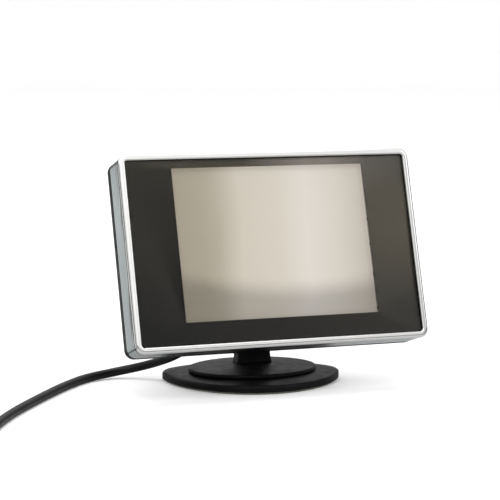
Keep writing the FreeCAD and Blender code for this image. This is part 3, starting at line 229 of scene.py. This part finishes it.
def nurbs_line(points):
    """Points along the smooth NURBS line that has these control points."""
    data = bpy.data.curves.new("lead_line", "CURVE")
    data.dimensions = "3D"
    data.resolution_u = LINE_STEPS
    spline = data.splines.new("NURBS")
    spline.points.add(len(points) - 1)
    for place, point in zip(spline.points, points):
        place.co = (*point, 1)
    spline.order_u = 3
    spline.use_endpoint_u = True
    line = bpy.data.objects.new("lead_line", data)
    mesh = bpy.data.meshes.new_from_object(line)
    found = [v.co.copy() for v in mesh.vertices]
    bpy.data.objects.remove(line)
    bpy.data.curves.remove(data)
    bpy.data.meshes.remove(mesh)
    return found


# ---------------------------------------------------------------- material helpers

NOISE_LOW, NOISE_HIGH = 0.3, 0.7  # nearly all of a noise lies between these


def fill_ramp(node, stops, interpolation):
    """Sets a colour ramp's stops, each a place and a colour."""
    ramp = node.color_ramp
    ramp.interpolation = interpolation
    while len(ramp.elements) < len(stops):
        ramp.elements.new(1.0)
    for element, (place, colour) in zip(ramp.elements, stops):
        element.position, element.color = place, colour


class Surface:
    """A Principled material and the nodes that give it its detail."""

    def __init__(self, name, colour, rough, metal=0.0, specular=0.5, coat=0.0):
        self.material = bpy.data.materials.new(name)
        self.material.use_nodes = True
        self.tree = self.material.node_tree
        self.shader = self.tree.nodes["Principled BSDF"]
        self.set("Base Color", (*colour, 1))
        self.set("Roughness", rough)
        self.set("Metallic", metal)
        self.set("Specular IOR Level", specular)
        self.set("Coat Weight", coat)

    def set(self, socket, value):
        self.shader.inputs[socket].default_value = value

    def node(self, kind, *sources, **settings):
        """A node with its first inputs linked to sockets or set to values."""
        made = self.tree.nodes.new("ShaderNode" + kind)
        for key, value in settings.items():
            setattr(made, key, value)
        for socket, source in zip(made.inputs, sources):
            self.put(socket, source)
        return made

    def put(self, socket, source):
        """Links a socket to its source, or sets its value; None leaves it as it is."""
        if hasattr(source, "is_output"):
            self.tree.links.new(source, socket)
        elif source is not None:
            socket.default_value = source

    def math(self, operation, a, b=None, c=None):
        return self.node("Math", a, b, c, operation=operation).outputs[0]

    def place(self, stretch=(1, 1, 1)):
        """Coordinates in the row frame, in metres, that stay with the piece as it moves."""
        coords = self.node("TexCoord").outputs["Object"]
        return self.node("Mapping", coords, None, None, stretch).outputs[0]

    def noise(self, scale, detail=3.0, stretch=(1, 1, 1), distortion=0.0):
        """Noise with features about 1 / scale metres across."""
        made = self.node("TexNoise")
        self.put(made.inputs["Vector"], self.place(stretch))
        made.inputs["Scale"].default_value = scale
        made.inputs["Detail"].default_value = detail
        made.inputs["Distortion"].default_value = distortion
        return made.outputs["Fac"]

    def cells(self, scale):
        """Rounded cells about 1 / scale metres across."""
        made = self.node("TexVoronoi")
        self.put(made.inputs["Vector"], self.place())
        made.inputs["Scale"].default_value = scale
        return made.outputs["Distance"]

    def span(self, source, low, high, to_low=0.0, to_high=1.0, smooth=False):
        """Maps a value from one span to another."""
        kind = "SMOOTHSTEP" if smooth else "LINEAR"
        made = self.node("MapRange", source, low, high, to_low, to_high, interpolation_type=kind)
        return made.outputs[0]

    def drift(self, noise_value, low, high):
        """A value that goes from low to high with a noise."""
        return self.span(noise_value, NOISE_LOW, NOISE_HIGH, low, high)

    def ramp(self, source, *stops, interpolation="LINEAR"):
        """A colour from stops, each a place and three linear levels."""
        made = self.node("ValToRGB", source)
        fill_ramp(made, [(place, (*colour, 1)) for place, colour in stops], interpolation)
        return made.outputs["Color"]

    def two_tone(self, noise_value, dark, light):
        """A colour that goes from dark to light with a noise."""
        return self.ramp(noise_value, (NOISE_LOW, dark), (NOISE_HIGH, light))

    def blend(self, share, a, b, kind="MIX"):
        """Two colours mixed, or multiplied."""
        made = self.node("Mix", data_type="RGBA", blend_type=kind)
        for index, source in ((0, share), (6, a), (7, b)):
            self.put(made.inputs[index], source)
        return made.outputs[2]

    def bump(self, height, distance, strength):
        """Raises the surface by up to the distance, in metres."""
        made = self.node("Bump", strength, distance)
        self.put(made.inputs["Height"], height)
        self.put(self.shader.inputs["Normal"], made.outputs[0])

    def colour(self, source):
        self.put(self.shader.inputs["Base Color"], source)

    def rough(self, source):
        self.put(self.shader.inputs["Roughness"], source)


def shade(level, tint=(1, 1, 1)):
    """A linear grey, or a tint at that level."""
    return tuple(level * t for t in tint)


# the head frame: its origin in metres in the row frame, then millimetres across and up the screen
LEAN = math.radians(16.86)
PICTURE_CENTRE = (0.0, -0.0224, 0.0524)
SCREEN_UP = (0.0, math.sin(LEAN), math.cos(LEAN))
INTO_CASE = (0.0, math.cos(LEAN), -math.sin(LEAN))
HALF_PICTURE = (35.04, 26.28)
WINDOW_LOW, WINDOW_HIGH, WINDOW_HALF = -34.0, 29.1, 51.0
SIDE_START, SIDE_END = 50.0, 52.0  # the case's left and right sides begin between these


def screen_axes(surface):
    """Millimetres across and up the screen from the picture's centre, and into the case."""
    coords = surface.node("TexCoord").outputs["Object"]
    away = surface.node("VectorMath", coords, PICTURE_CENTRE, operation="SUBTRACT").outputs[0]
    values = []
    for axis in ((1, 0, 0), SCREEN_UP, INTO_CASE):
        along = surface.node("VectorMath", away, axis, operation="DOT_PRODUCT").outputs["Value"]
        values.append(surface.math("MULTIPLY", along, 1 / MM))
    return values


def uneven_sides(surface, across, pattern):
    """A pattern about 0 on the case's left and right sides, and none along its top and bottom."""
    sides = surface.span(surface.math("ABSOLUTE", across), SIDE_START, SIDE_END)
    return surface.math("MULTIPLY", surface.math("SUBTRACT", pattern, 0.5), sides)


# ---------------------------------------------------------------- materials

WARM = (1.0, 0.93, 0.83)
BROWN = (1.06, 0.95, 0.70)
FLOOR_NEAR, FLOOR_FAR = -0.25, 0.5  # between these y the shiny parts see the floor grow lighter
PANEL_GLOW = 0.55  # share of the room's light on the display that is painted on as a glow of its own
WIRES_LEFT, WIRES_RIGHT = -0.02644, -0.02356  # the bundle's sides, x in metres


def floor_paint():
    """Matt white paper with the faintest unevenness and a little glow seen by the camera only; in
    the shiny parts it shows a painted darker floor, lighter further back.
    """
    s = Surface("studio_paper", shade(0.93), 0.8, specular=0.1)
    paper = s.two_tone(s.noise(3.0), shade(0.92), shade(0.94))
    y = s.node("SeparateXYZ", s.node("TexCoord").outputs["Object"]).outputs[1]
    # painted reflection: what the shiny parts see of the floor, darker near the monitor and
    # lighter further back
    studio = s.ramp(s.span(y, FLOOR_NEAR, FLOOR_FAR), (0.0, shade(0.40)), (1.0, shade(0.64)))
    shiny = s.node("LightPath").outputs["Is Glossy Ray"]
    s.colour(s.blend(shiny, paper, studio))
    s.set("Emission Color", (1, 1, 1, 1))
    seen = s.node("LightPath").outputs["Is Camera Ray"]
    s.put(s.shader.inputs["Emission Strength"], s.math("MULTIPLY", seen, FLOOR_GLOW))
    return s.material


def chrome_rim():
    """Bright plating over moulded plastic: soft long waves, painted shade in the groove at its
    back, and a painted darker right side.
    """
    s = Surface("chrome_rim", (0.93, 0.93, 0.92), 0.1, metal=1.0)
    across, _, deep = screen_axes(s)
    waves = s.noise(55.0, 2.0, stretch=(0.35, 1.0, 1.0), distortion=0.6)
    s.rough(s.drift(s.noise(420.0, 2.0), 0.09, 0.17))
    plated = s.two_tone(waves, (0.90, 0.90, 0.885), (0.97, 0.965, 0.95))
    # painted shade: the rim's right side is a quarter darker
    right = s.span(across, 50.5, 52.0, 1.0, 0.75, smooth=True)
    # painted shade in the groove at the rim's back: dark from about 0.5 to 0.8 mm into the case,
    # its edge ragged on the left and right sides
    ragged = uneven_sides(s, across, s.noise(260.0, 2.0, distortion=1.0))
    groove = s.math("MULTIPLY_ADD", ragged, -0.9, deep)
    behind = s.span(groove, 0.5, 0.8, 1.0, 0.06, smooth=True)
    s.colour(s.blend(1.0, plated, s.math("MULTIPLY", right, behind), "MULTIPLY"))
    s.bump(waves, 0.25 * MM, 0.5)
    return s.material


def silver_band():
    """Metallic blue-grey plating on the case's sides, a little wavy and with darker streaks next
    to the front, and painted shade in the groove along its front.
    """
    s = Surface("silver_band", (0.44, 0.49, 0.49), 0.2, metal=1.0)
    across, _, deep = screen_axes(s)
    clouds = s.noise(70.0, 3.0, stretch=(1.0, 1.0, 0.5))
    streaks = s.noise(230.0, 2.0, stretch=(1.0, 1.0, 0.16), distortion=0.8)
    base = s.two_tone(clouds, (0.40, 0.445, 0.45), (0.56, 0.62, 0.625))
    wavy = uneven_sides(s, across, streaks)
    near_front = s.span(deep, 2.6, 5.2, 1.0, 0.0, smooth=True)
    streaky = s.math("MULTIPLY", s.span(wavy, 0.0, 0.14, 0.0, 0.75, smooth=True), near_front)
    # painted shade in the groove next to the rim: the band's front 2 mm nearly black, its edge
    # ragged with the waves
    groove = s.span(s.math("MULTIPLY_ADD", wavy, -1.6, deep), 2.0, 2.4, 0.95, 0.0, smooth=True)
    bright = s.math("SUBTRACT", 1.0, s.math("MAXIMUM", streaky, groove))
    s.colour(s.blend(1.0, base, bright, "MULTIPLY"))
    s.rough(s.drift(s.noise(300.0), 0.14, 0.26))
    s.bump(wavy, 0.12 * MM, 0.5)
    return s.material


def clear_window():
    """Polished smoked acrylic: clear straight on, mirroring at a slant."""
    s = Surface("clear_window", (0.8, 0.8, 0.8), 0.03)
    see = s.node("BsdfTransparent", (0.97, 0.965, 0.955, 1)).outputs[0]
    shine = s.node("BsdfGlossy")
    shine.inputs["Color"].default_value = (1, 1, 1, 1)
    s.put(shine.inputs["Roughness"], s.drift(s.noise(25.0, 2.0), 0.02, 0.05))
    slant = s.node("Fresnel", 1.22).outputs[0]
    both = s.node("MixShader", slant, see, shine.outputs[0])
    s.tree.links.new(both.outputs[0], s.tree.nodes["Material Output"].inputs["Surface"])
    return s.material


def black_mask():
    """The printed mask: brown-black, with a painted reflection of the room on it, lighter to the
    upper right and darkest low on the left.
    """
    s = Surface("black_mask", shade(0.03), 0.35, specular=0.2)
    across, up = screen_axes(s)[:2]
    u = s.span(across, -WINDOW_HALF, WINDOW_HALF)
    soft = s.math("ADD", u, s.span(s.noise(18.0, 2.0), 0.2, 0.8, -0.04, 0.04))
    # painted reflection of the room: darkest low on the left, a pale patch at the upper right
    low = s.ramp(soft, (0.0, shade(0.009)), (0.5, shade(0.021, WARM)), (1.0, shade(0.044, WARM)))
    middle = s.ramp(soft, (0.0, shade(0.036, BROWN)), (0.5, shade(0.05, BROWN)),
                    (1.0, shade(0.088, BROWN)))
    top = s.ramp(soft, (0.0, shade(0.047, BROWN)), (0.38, shade(0.052, BROWN)),
                 (0.62, shade(0.235, WARM)), (0.72, shade(0.22, WARM)),
                 (0.86, shade(0.12, WARM)), (1.0, shade(0.085, WARM)))
    lower = s.span(up, WINDOW_LOW, 6.0, smooth=True)
    upper = s.span(up, 12.0, WINDOW_HIGH, smooth=True)
    s.colour(s.blend(upper, s.blend(lower, low, middle), top))
    s.rough(s.drift(s.noise(900.0), 0.3, 0.4))
    return s.material


def panel_glass():
    """The switched-off display: warm grey with the soft light of a bright room painted on it, part
    of it as a glow.
    """
    s = Surface("panel_glass", shade(0.6, WARM), 0.45, specular=0.15)
    across, up = screen_axes(s)[:2]
    u = s.span(across, -HALF_PICTURE[0], HALF_PICTURE[0])
    v = s.span(up, -HALF_PICTURE[1], HALF_PICTURE[1])
    drift = s.span(s.noise(22.0, 2.0), 0.2, 0.8, -0.035, 0.035)
    lean = s.math("MULTIPLY_ADD", v, -0.03, drift)
    soft = s.math("ADD", u, lean)
    light = s.ramp(
        soft,
        (0.0, (0.415, 0.378, 0.303)), (0.12, (0.440, 0.400, 0.322)),
        (0.20, (0.500, 0.458, 0.378)), (0.31, (0.690, 0.647, 0.566)),
        (0.50, (0.730, 0.685, 0.608)), (0.66, (0.807, 0.769, 0.723)),
        (0.82, (0.740, 0.700, 0.640)), (1.0, (0.608, 0.561, 0.499)),
    )
    # painted shade: the painted light is dimmer on the lower part, below an edge that sinks to the
    # right of the middle and rises again
    bow = s.math("SUBTRACT", u, 0.62)
    edge = s.math("MULTIPLY_ADD", s.math("MULTIPLY", bow, bow), 0.32, 0.16)
    above = s.math("SUBTRACT", s.math("ADD", v, drift), edge)
    dim = s.span(above, -0.07, 0.09, 0.62, 1.0, smooth=True)
    seen = s.blend(1.0, light, dim, "MULTIPLY")
    # the painted light: part of it in the base colour, the rest a painted glow
    s.colour(s.blend(1.0, seen, (1 - PANEL_GLOW,) * 3 + (1,), "MULTIPLY"))
    s.put(s.shader.inputs["Emission Color"], seen)
    s.set("Emission Strength", PANEL_GLOW)
    s.rough(s.drift(s.noise(600.0), 0.42, 0.5))
    return s.material


def black_abs():
    """Moulded black plastic with a fine spark-eroded grain and a satin shine."""
    s = Surface("black_abs", shade(0.02), 0.42, specular=0.12)
    s.colour(s.two_tone(s.noise(90.0, 4.0), (0.0030, 0.0032, 0.0036), (0.0065, 0.0068, 0.0074)))
    s.rough(s.drift(s.noise(240.0), 0.36, 0.50))
    s.bump(s.noise(5200.0, 2.0), 0.03 * MM, 0.35)
    return s.material


def foam_rubber():
    """Closed-cell foam, olive grey, with its cut cells showing as hollows with painted shade in
    them.
    """
    s = Surface("foam_rubber", shade(0.06), 0.9, specular=0.2)
    cell = s.cells(2600.0)
    tone = s.two_tone(s.noise(160.0, 4.0), (0.16, 0.155, 0.125), (0.25, 0.245, 0.205))
    # painted shade: each cell's hollow darker towards its middle
    s.colour(s.blend(0.35, tone, s.ramp(cell, (0.1, shade(0.08)), (0.6, shade(0.30, WARM)))))
    s.bump(cell, 0.12 * MM, 0.7)
    return s.material


def steel(name, colour, rough, brushed=(1, 1, 1)):
    """Plated steel: fine tool marks, cloudy shine, duller in patches."""
    s = Surface(name, colour, rough, metal=1.0)
    clouds = s.noise(260.0)
    s.colour(s.two_tone(clouds, shade(0.75, colour), colour))
    s.rough(s.drift(clouds, rough * 0.8, rough * 1.35))
    s.bump(s.noise(3000.0, 2.0, stretch=brushed), 0.02 * MM, 0.4)
    return s.material


def plastic(name, colour, rough, grain=2500.0, depth=0.02, dark=0.85):
    """Moulded or coated plastic with a fine grain and a slightly uneven tone."""
    s = Surface(name, colour, rough)
    s.colour(s.two_tone(s.noise(150.0), shade(dark, colour), colour))
    s.rough(s.drift(s.noise(400.0), rough * 0.85, rough * 1.15))
    s.bump(s.noise(grain, 2.0), depth * MM, 0.4)
    return s.material


def green_laminate():
    """Solder mask over copper: raised tracks under green lacquer."""
    s = Surface("green_laminate", (0.03, 0.22, 0.09), 0.3, coat=0.3)
    tracks = s.node("TexBrick")
    s.put(tracks.inputs["Vector"], s.place())
    tracks.inputs["Scale"].default_value = 160.0
    tracks.inputs["Mortar Size"].default_value = 0.03
    s.colour(s.blend(tracks.outputs["Fac"], (0.02, 0.17, 0.065, 1), (0.04, 0.27, 0.11, 1)))
    s.bump(tracks.outputs["Fac"], 0.03 * MM, 0.6)
    return s.material


def lead_rubber():
    """Black PVC of a lead: satin, its skin a little uneven."""
    s = Surface("lead_rubber", shade(0.014), 0.34, specular=0.22)
    s.colour(s.two_tone(s.noise(130.0), (0.0040, 0.0044, 0.0048), (0.0080, 0.0086, 0.0092)))
    s.rough(s.drift(s.noise(500.0), 0.28, 0.40))
    s.bump(s.noise(1500.0, 2.0), 0.03 * MM, 0.3)
    return s.material


def wire_pvc():
    """Four thin wires, each its own colour across the bundle."""
    s = Surface("wire_pvc", (0.5, 0.1, 0.08), 0.4)
    x = s.node("SeparateXYZ", s.node("TexCoord").outputs["Object"]).outputs[0]
    s.colour(s.ramp(
        s.span(x, WIRES_LEFT, WIRES_RIGHT),
        (0.0, (0.45, 0.02, 0.02)), (0.25, (0.5, 0.42, 0.03)),
        (0.5, (0.55, 0.55, 0.53)), (0.75, (0.015, 0.015, 0.016)),
        interpolation="CONSTANT",
    ))
    s.bump(s.noise(2500.0), 0.02 * MM, 0.3)
    return s.material


def tie_wire():
    """Paper-covered twist tie: a fibrous black strip."""
    s = Surface("tie_wire", shade(0.03), 0.7, specular=0.3)
    fibres = s.noise(1800.0, 4.0, stretch=(0.3, 1.0, 1.0))
    s.colour(s.ramp(fibres, (0.35, shade(0.016)), (0.7, shade(0.05))))
    s.bump(fibres, 0.05 * MM, 0.5)
    return s.material


def make_materials():
    """The material of each slot of the record."""
    return {
        "chrome_rim": chrome_rim(),
        "silver_band": silver_band(),
        "clear_window": clear_window(),
        "black_mask": black_mask(),
        "black_abs": black_abs(),
        "foam_rubber": foam_rubber(),
        "zinc_steel": steel("zinc_steel", (0.66, 0.66, 0.63), 0.28),
        "black_steel": steel("black_steel", (0.07, 0.07, 0.075), 0.35),
        "tin_plate": steel("tin_plate", (0.70, 0.71, 0.72), 0.3, (0.1, 1, 1)),
        "panel_glass": panel_glass(),
        "white_film": plastic("white_film", (0.88, 0.88, 0.86), 0.35, 900.0, 0.01, 0.95),
        "clear_acrylic": plastic("clear_acrylic", (0.80, 0.84, 0.84), 0.12),
        "amber_film": plastic("amber_film", (0.50, 0.24, 0.05), 0.3),
        "green_laminate": green_laminate(),
        "nylon": plastic("nylon", (0.78, 0.74, 0.64), 0.5),
        "nylon_black": plastic("nylon_black", (0.03, 0.03, 0.03), 0.45),
        "chip_resin": plastic("chip_resin", (0.035, 0.035, 0.038), 0.5),
        "can_aluminium": steel("can_aluminium", (0.75, 0.76, 0.78), 0.25),
        "ferrite": plastic("ferrite", (0.09, 0.085, 0.085), 0.6),
        "wire_pvc": wire_pvc(),
        "lead_rubber": lead_rubber(),
        "tie_wire": tie_wire(),
        "nickel_steel": steel("nickel_steel", (0.74, 0.72, 0.68), 0.2),
        "pin_brass": steel("pin_brass", (0.83, 0.65, 0.30), 0.22),
    }


def dress_frame(materials):
    """Gives every CAD node the material of its slot."""
    for part in frame["record"]["subparts"]:
        for place in nodes[part["node"]].material_slots:
            place.material = materials[part["material_slot"]]


# ---------------------------------------------------------------- lead

LEAD_DIAMETER = 3.1 * MM
# from here on the lead's points are in millimetres
FLOOR_Z = 1.55  # the lead's middle above the table
ROUTE_DOWN = [
    (-25.0, -3.8, 15.6),
    (-24.8, 3.2, 11.7),
    (-26.8, 11.6, 8.1),
    (-33.4, 19.0, 4.6),
    (-44.0, 23.6, 2.1),
    (-55.8, 18.9, FLOOR_Z),
    (-67.5, 5.9, FLOOR_Z),
]
ROUTE_FLOOR = [
    (-82.0, -13.9, FLOOR_Z),
    (-97.0, -35.9, FLOOR_Z),
    (-107.0, -55.4, FLOOR_Z),
    (-120.0, -69.4, 1.7),
]
TAIL = [
    (-162.3, -38.9, 3.4),
    (-160.0, -27.7, 2.0),
    (-152.2, -19.3, 3.2),
    (-142.0, -15.4, 5.0),
]
COIL_CENTRE = (-136.0, -49.4)
COIL_OUTSIDE, COIL_PITCH = 22.8, 3.15
COIL_LOW, COIL_HIGH = 1.85, 4.95
TURNS, CLIMB_START, CLIMB_END = 7.25, 3.15, 3.55
POINTS_PER_TURN = 16
CLIMB_ROUNDING = 0.05  # turns over which the coil stops going in and starts going out
JOIN = (-49.71, 21.32, 1.83)  # where the stretch behind the monitor meets the one on the table


def smooth_step(x):
    """0 to 1 with a soft start and end."""
    x = min(max(x, 0.0), 1.0)
    return x * x * (3 - 2 * x)


def coil_point(turn):
    """A control point of the coil: inward on the table, up, and outward on top of those turns."""
    middle = (CLIMB_START + CLIMB_END) / 2
    inside = COIL_OUTSIDE - COIL_PITCH * middle
    radius = inside + COIL_PITCH * math.hypot(turn - middle, CLIMB_ROUNDING)
    # the line passes inside its control points, so they stand further out
    radius /= 0.75 + 0.25 * math.cos(2 * math.pi / POINTS_PER_TURN)
    rise = smooth_step((turn - CLIMB_START) / (CLIMB_END - CLIMB_START))
    angle = -math.pi / 2 - 2 * math.pi * turn
    return (
        COIL_CENTRE[0] + radius * math.cos(angle),
        COIL_CENTRE[1] + radius * math.sin(angle),
        COIL_LOW + (COIL_HIGH - COIL_LOW) * rise,
    )


def add_lead(materials):
    """The lead as two tubes: one that hangs from the monitor, one on the table with its coil."""
    steps = round(TURNS * POINTS_PER_TURN)
    coil = [coil_point(i / POINTS_PER_TURN) for i in range(steps + 1)]
    route = [Vector(p) * MM for p in ROUTE_DOWN + ROUTE_FLOOR + coil + TAIL]
    line = nurbs_line(route)
    join = min(range(len(line)), key=lambda i: (line[i] - Vector(JOIN) * MM).length)
    upper, lower = line[: join + 1], line[join:]

    rings = tube_rings(line, LEAD_DIAMETER / 2)
    hanging = tube("lead_upper", rings[: join + 1], upper)
    hanging.data.materials.append(materials["lead_rubber"])
    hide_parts("cable_upper")
    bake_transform(hanging)

    lying = tube("lead_lower", rings[join:], lower)
    lying.data.materials.append(materials["lead_rubber"])
    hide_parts("cable_floor", "cable_coil", "cable_tail")
    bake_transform(lying)
    add_tie(materials["tie_wire"])


# ---------------------------------------------------------------- twist tie

TIE_WIDTH, TIE_THICK = 3.6, 0.28
TIE_WIRE_HALF, TIE_WIRE_HIGH, TIE_RIB_HALF = 0.45, 0.22, 0.35
TIE_INSIDE, TIE_OUTSIDE, TIE_TOP = 10.6, 25.6, 6.6
TIE_FLATNESS = 0.45  # 1 is an oval round the coil, 0 a rectangle
TIE_STEPS, TIE_START = 48, 0.42 * math.pi
END_LONG, END_TURNS, END_STEPS = 9.0, 1.5, 24
END_NARROW, END_THIN = 0.55, 0.8  # the twisted ends are folded narrower and thinner
END_HEADING = Vector((0.90, 0.25, 0.36)).normalized()


def strip(points, ways):
    """Rings of a thin strip with a wire down its middle; ways hold its width and its outside."""
    half, top = TIE_WIDTH / 2, TIE_THICK
    section = ((-half, 0), (-TIE_RIB_HALF, 0), (TIE_RIB_HALF, 0), (half, 0), (half, top),
               (TIE_WIRE_HALF, top), (0, top + TIE_WIRE_HIGH), (-TIE_WIRE_HALF, top), (-half, top))
    rings = []
    for point, (across, out) in zip(points, ways):
        ring = [point + across * a + out * b for a, b in section]
        rings.append([Vector((p.x, p.y, max(p.z, 0.03))) * MM for p in ring])
    return rings


def tie_loop_points():
    """The points of the tie's loop round the coil's right side."""
    centre_x = COIL_CENTRE[0] + (TIE_INSIDE + TIE_OUTSIDE) / 2
    half_wide, half_high = (TIE_OUTSIDE - TIE_INSIDE) / 2, (TIE_TOP - TIE_THICK) / 2
    middle = TIE_THICK + half_high
    points = []
    for i in range(TIE_STEPS):
        angle = TIE_START + 2 * math.pi * i / TIE_STEPS
        c, s = math.cos(angle), math.sin(angle)
        x = math.copysign(abs(c) ** TIE_FLATNESS, c)
        z = math.copysign(abs(s) ** TIE_FLATNESS, s)
        points.append(Vector((centre_x + half_wide * x, COIL_CENTRE[1], middle + half_high * z)))
    return points


def tie_end(root, phase):
    """One of the two ends, wound round the other as they leave the loop."""
    side = END_HEADING.cross(Vector((0, 0, 1))).normalized()
    up = side.cross(END_HEADING)
    points, ways = [], []
    for i in range(END_STEPS + 1):
        share = i / END_STEPS
        angle = phase + 2 * math.pi * END_TURNS * share
        out = side * math.cos(angle) + up * math.sin(angle)
        across = side * -math.sin(angle) + up * math.cos(angle)
        spread = 0.3 + 0.5 * smooth_step((share - 0.7) / 0.3)
        points.append(root + END_HEADING * (END_LONG * share) + out * spread)
        ways.append((across * END_NARROW, out * END_THIN))
    return skin("tie_end", strip(points, ways))


def add_tie(material):
    """A twist tie round the coil's right side, its two ends twisted together on top."""
    points, ways = tie_loop_points(), []
    for i in range(TIE_STEPS):
        way = (points[(i + 1) % TIE_STEPS] - points[i - 1]).normalized()
        ways.append((Vector((0, -1, 0)), Vector((way.z, 0, -way.x))))
    root = points[0] + Vector((0, 0, TIE_THICK))
    parts = [skin("tie_loop", strip(points, ways), looped=True)]
    parts += [tie_end(root, phase) for phase in (0, math.pi)]
    bm = bmesh.new()
    for part in parts:
        bm.from_mesh(part.data)
        bpy.data.objects.remove(part)
    tie = smooth_object("twist_tie", bm)
    tie.data.materials.append(material)
    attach(tie, "base")
    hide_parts("coil_tie")
    return tie


# ---------------------------------------------------------------- foam pad

FOAM_HIGH = 0.8
FOAM_PROFILE = (  # inward from the CAD pad's edge, and above the table, millimetres
    (0.5, 0.0), (0.12, 0.06), (-0.05, 0.22), (-0.1, 0.40), (-0.05, 0.58), (0.1, 0.74),
    (0.5, FOAM_HIGH),
)
FOAM_POINTS = 360
FOAM_RAG, FOAM_RAG_SCALE = 0.06, 2200  # millimetres, and features to the metre
FOAM_UNDERSIDE, FOAM_INNER = 0.05, 10  # the outline's points are below one and outside the other


def foam_outline(middle):
    """The CAD pad's outline as angles and radii about its middle, a point over a turn each way."""
    spots = [v.co for v in nodes["foam_pad"].data.vertices if v.co.z < FOAM_UNDERSIDE * MM]
    away = [(p.x - middle.x, p.y - middle.y) for p in spots]
    outline = sorted((math.atan2(y, x), math.hypot(x, y)) for x, y in away)
    outline = [p for p in outline if p[1] > FOAM_INNER * MM]
    outline.append((outline[0][0] + 2 * math.pi, outline[0][1]))
    outline.insert(0, (outline[-2][0] - 2 * math.pi, outline[-2][1]))
    return outline


def reach(outline, angle):
    """The outline's radius at an angle."""
    for (a0, r0), (a1, r1) in zip(outline, outline[1:]):
        if a0 <= angle <= a1:
            return r0 + (r1 - r0) * (angle - a0) / max(a1 - a0, 1e-9)
    return outline[0][1]


def add_foam_pad(material):
    """The adhesive pad, its cut edge bulging a little between the table and the plate."""
    low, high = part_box("foam_pad")
    middle = (Vector(low) + Vector(high)) / 2
    outline = foam_outline(middle)
    angles = [-math.pi + 2 * math.pi * i / FOAM_POINTS for i in range(FOAM_POINTS)]
    reaches = [reach(outline, a) for a in angles]
    rings = []
    for inset, height in FOAM_PROFILE:
        ring = []
        for angle, far in zip(angles, reaches):
            c, s = math.cos(angle), math.sin(angle)
            seed = Vector((far * c, far * s, height * MM)) * FOAM_RAG_SCALE
            rag = FOAM_RAG * noise.noise(seed) if 0 < height < FOAM_HIGH else 0.0
            radius = far - (inset + rag) * MM
            ring.append((middle.x + radius * c, middle.y + radius * s, height * MM))
        rings.append(ring)
    pad = skin("foam_pad_soft", rings)
    pad.data.materials.append(material)
    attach(pad, "base")
    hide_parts("foam_pad")


# ---------------------------------------------------------------- all together

bpy.context.scene.view_settings.view_transform = "Standard"
add_camera()
add_world()
add_floor()
add_lamps()
materials = make_materials()
dress_frame(materials)
add_lead(materials)
add_foam_pad(materials["foam_rubber"])
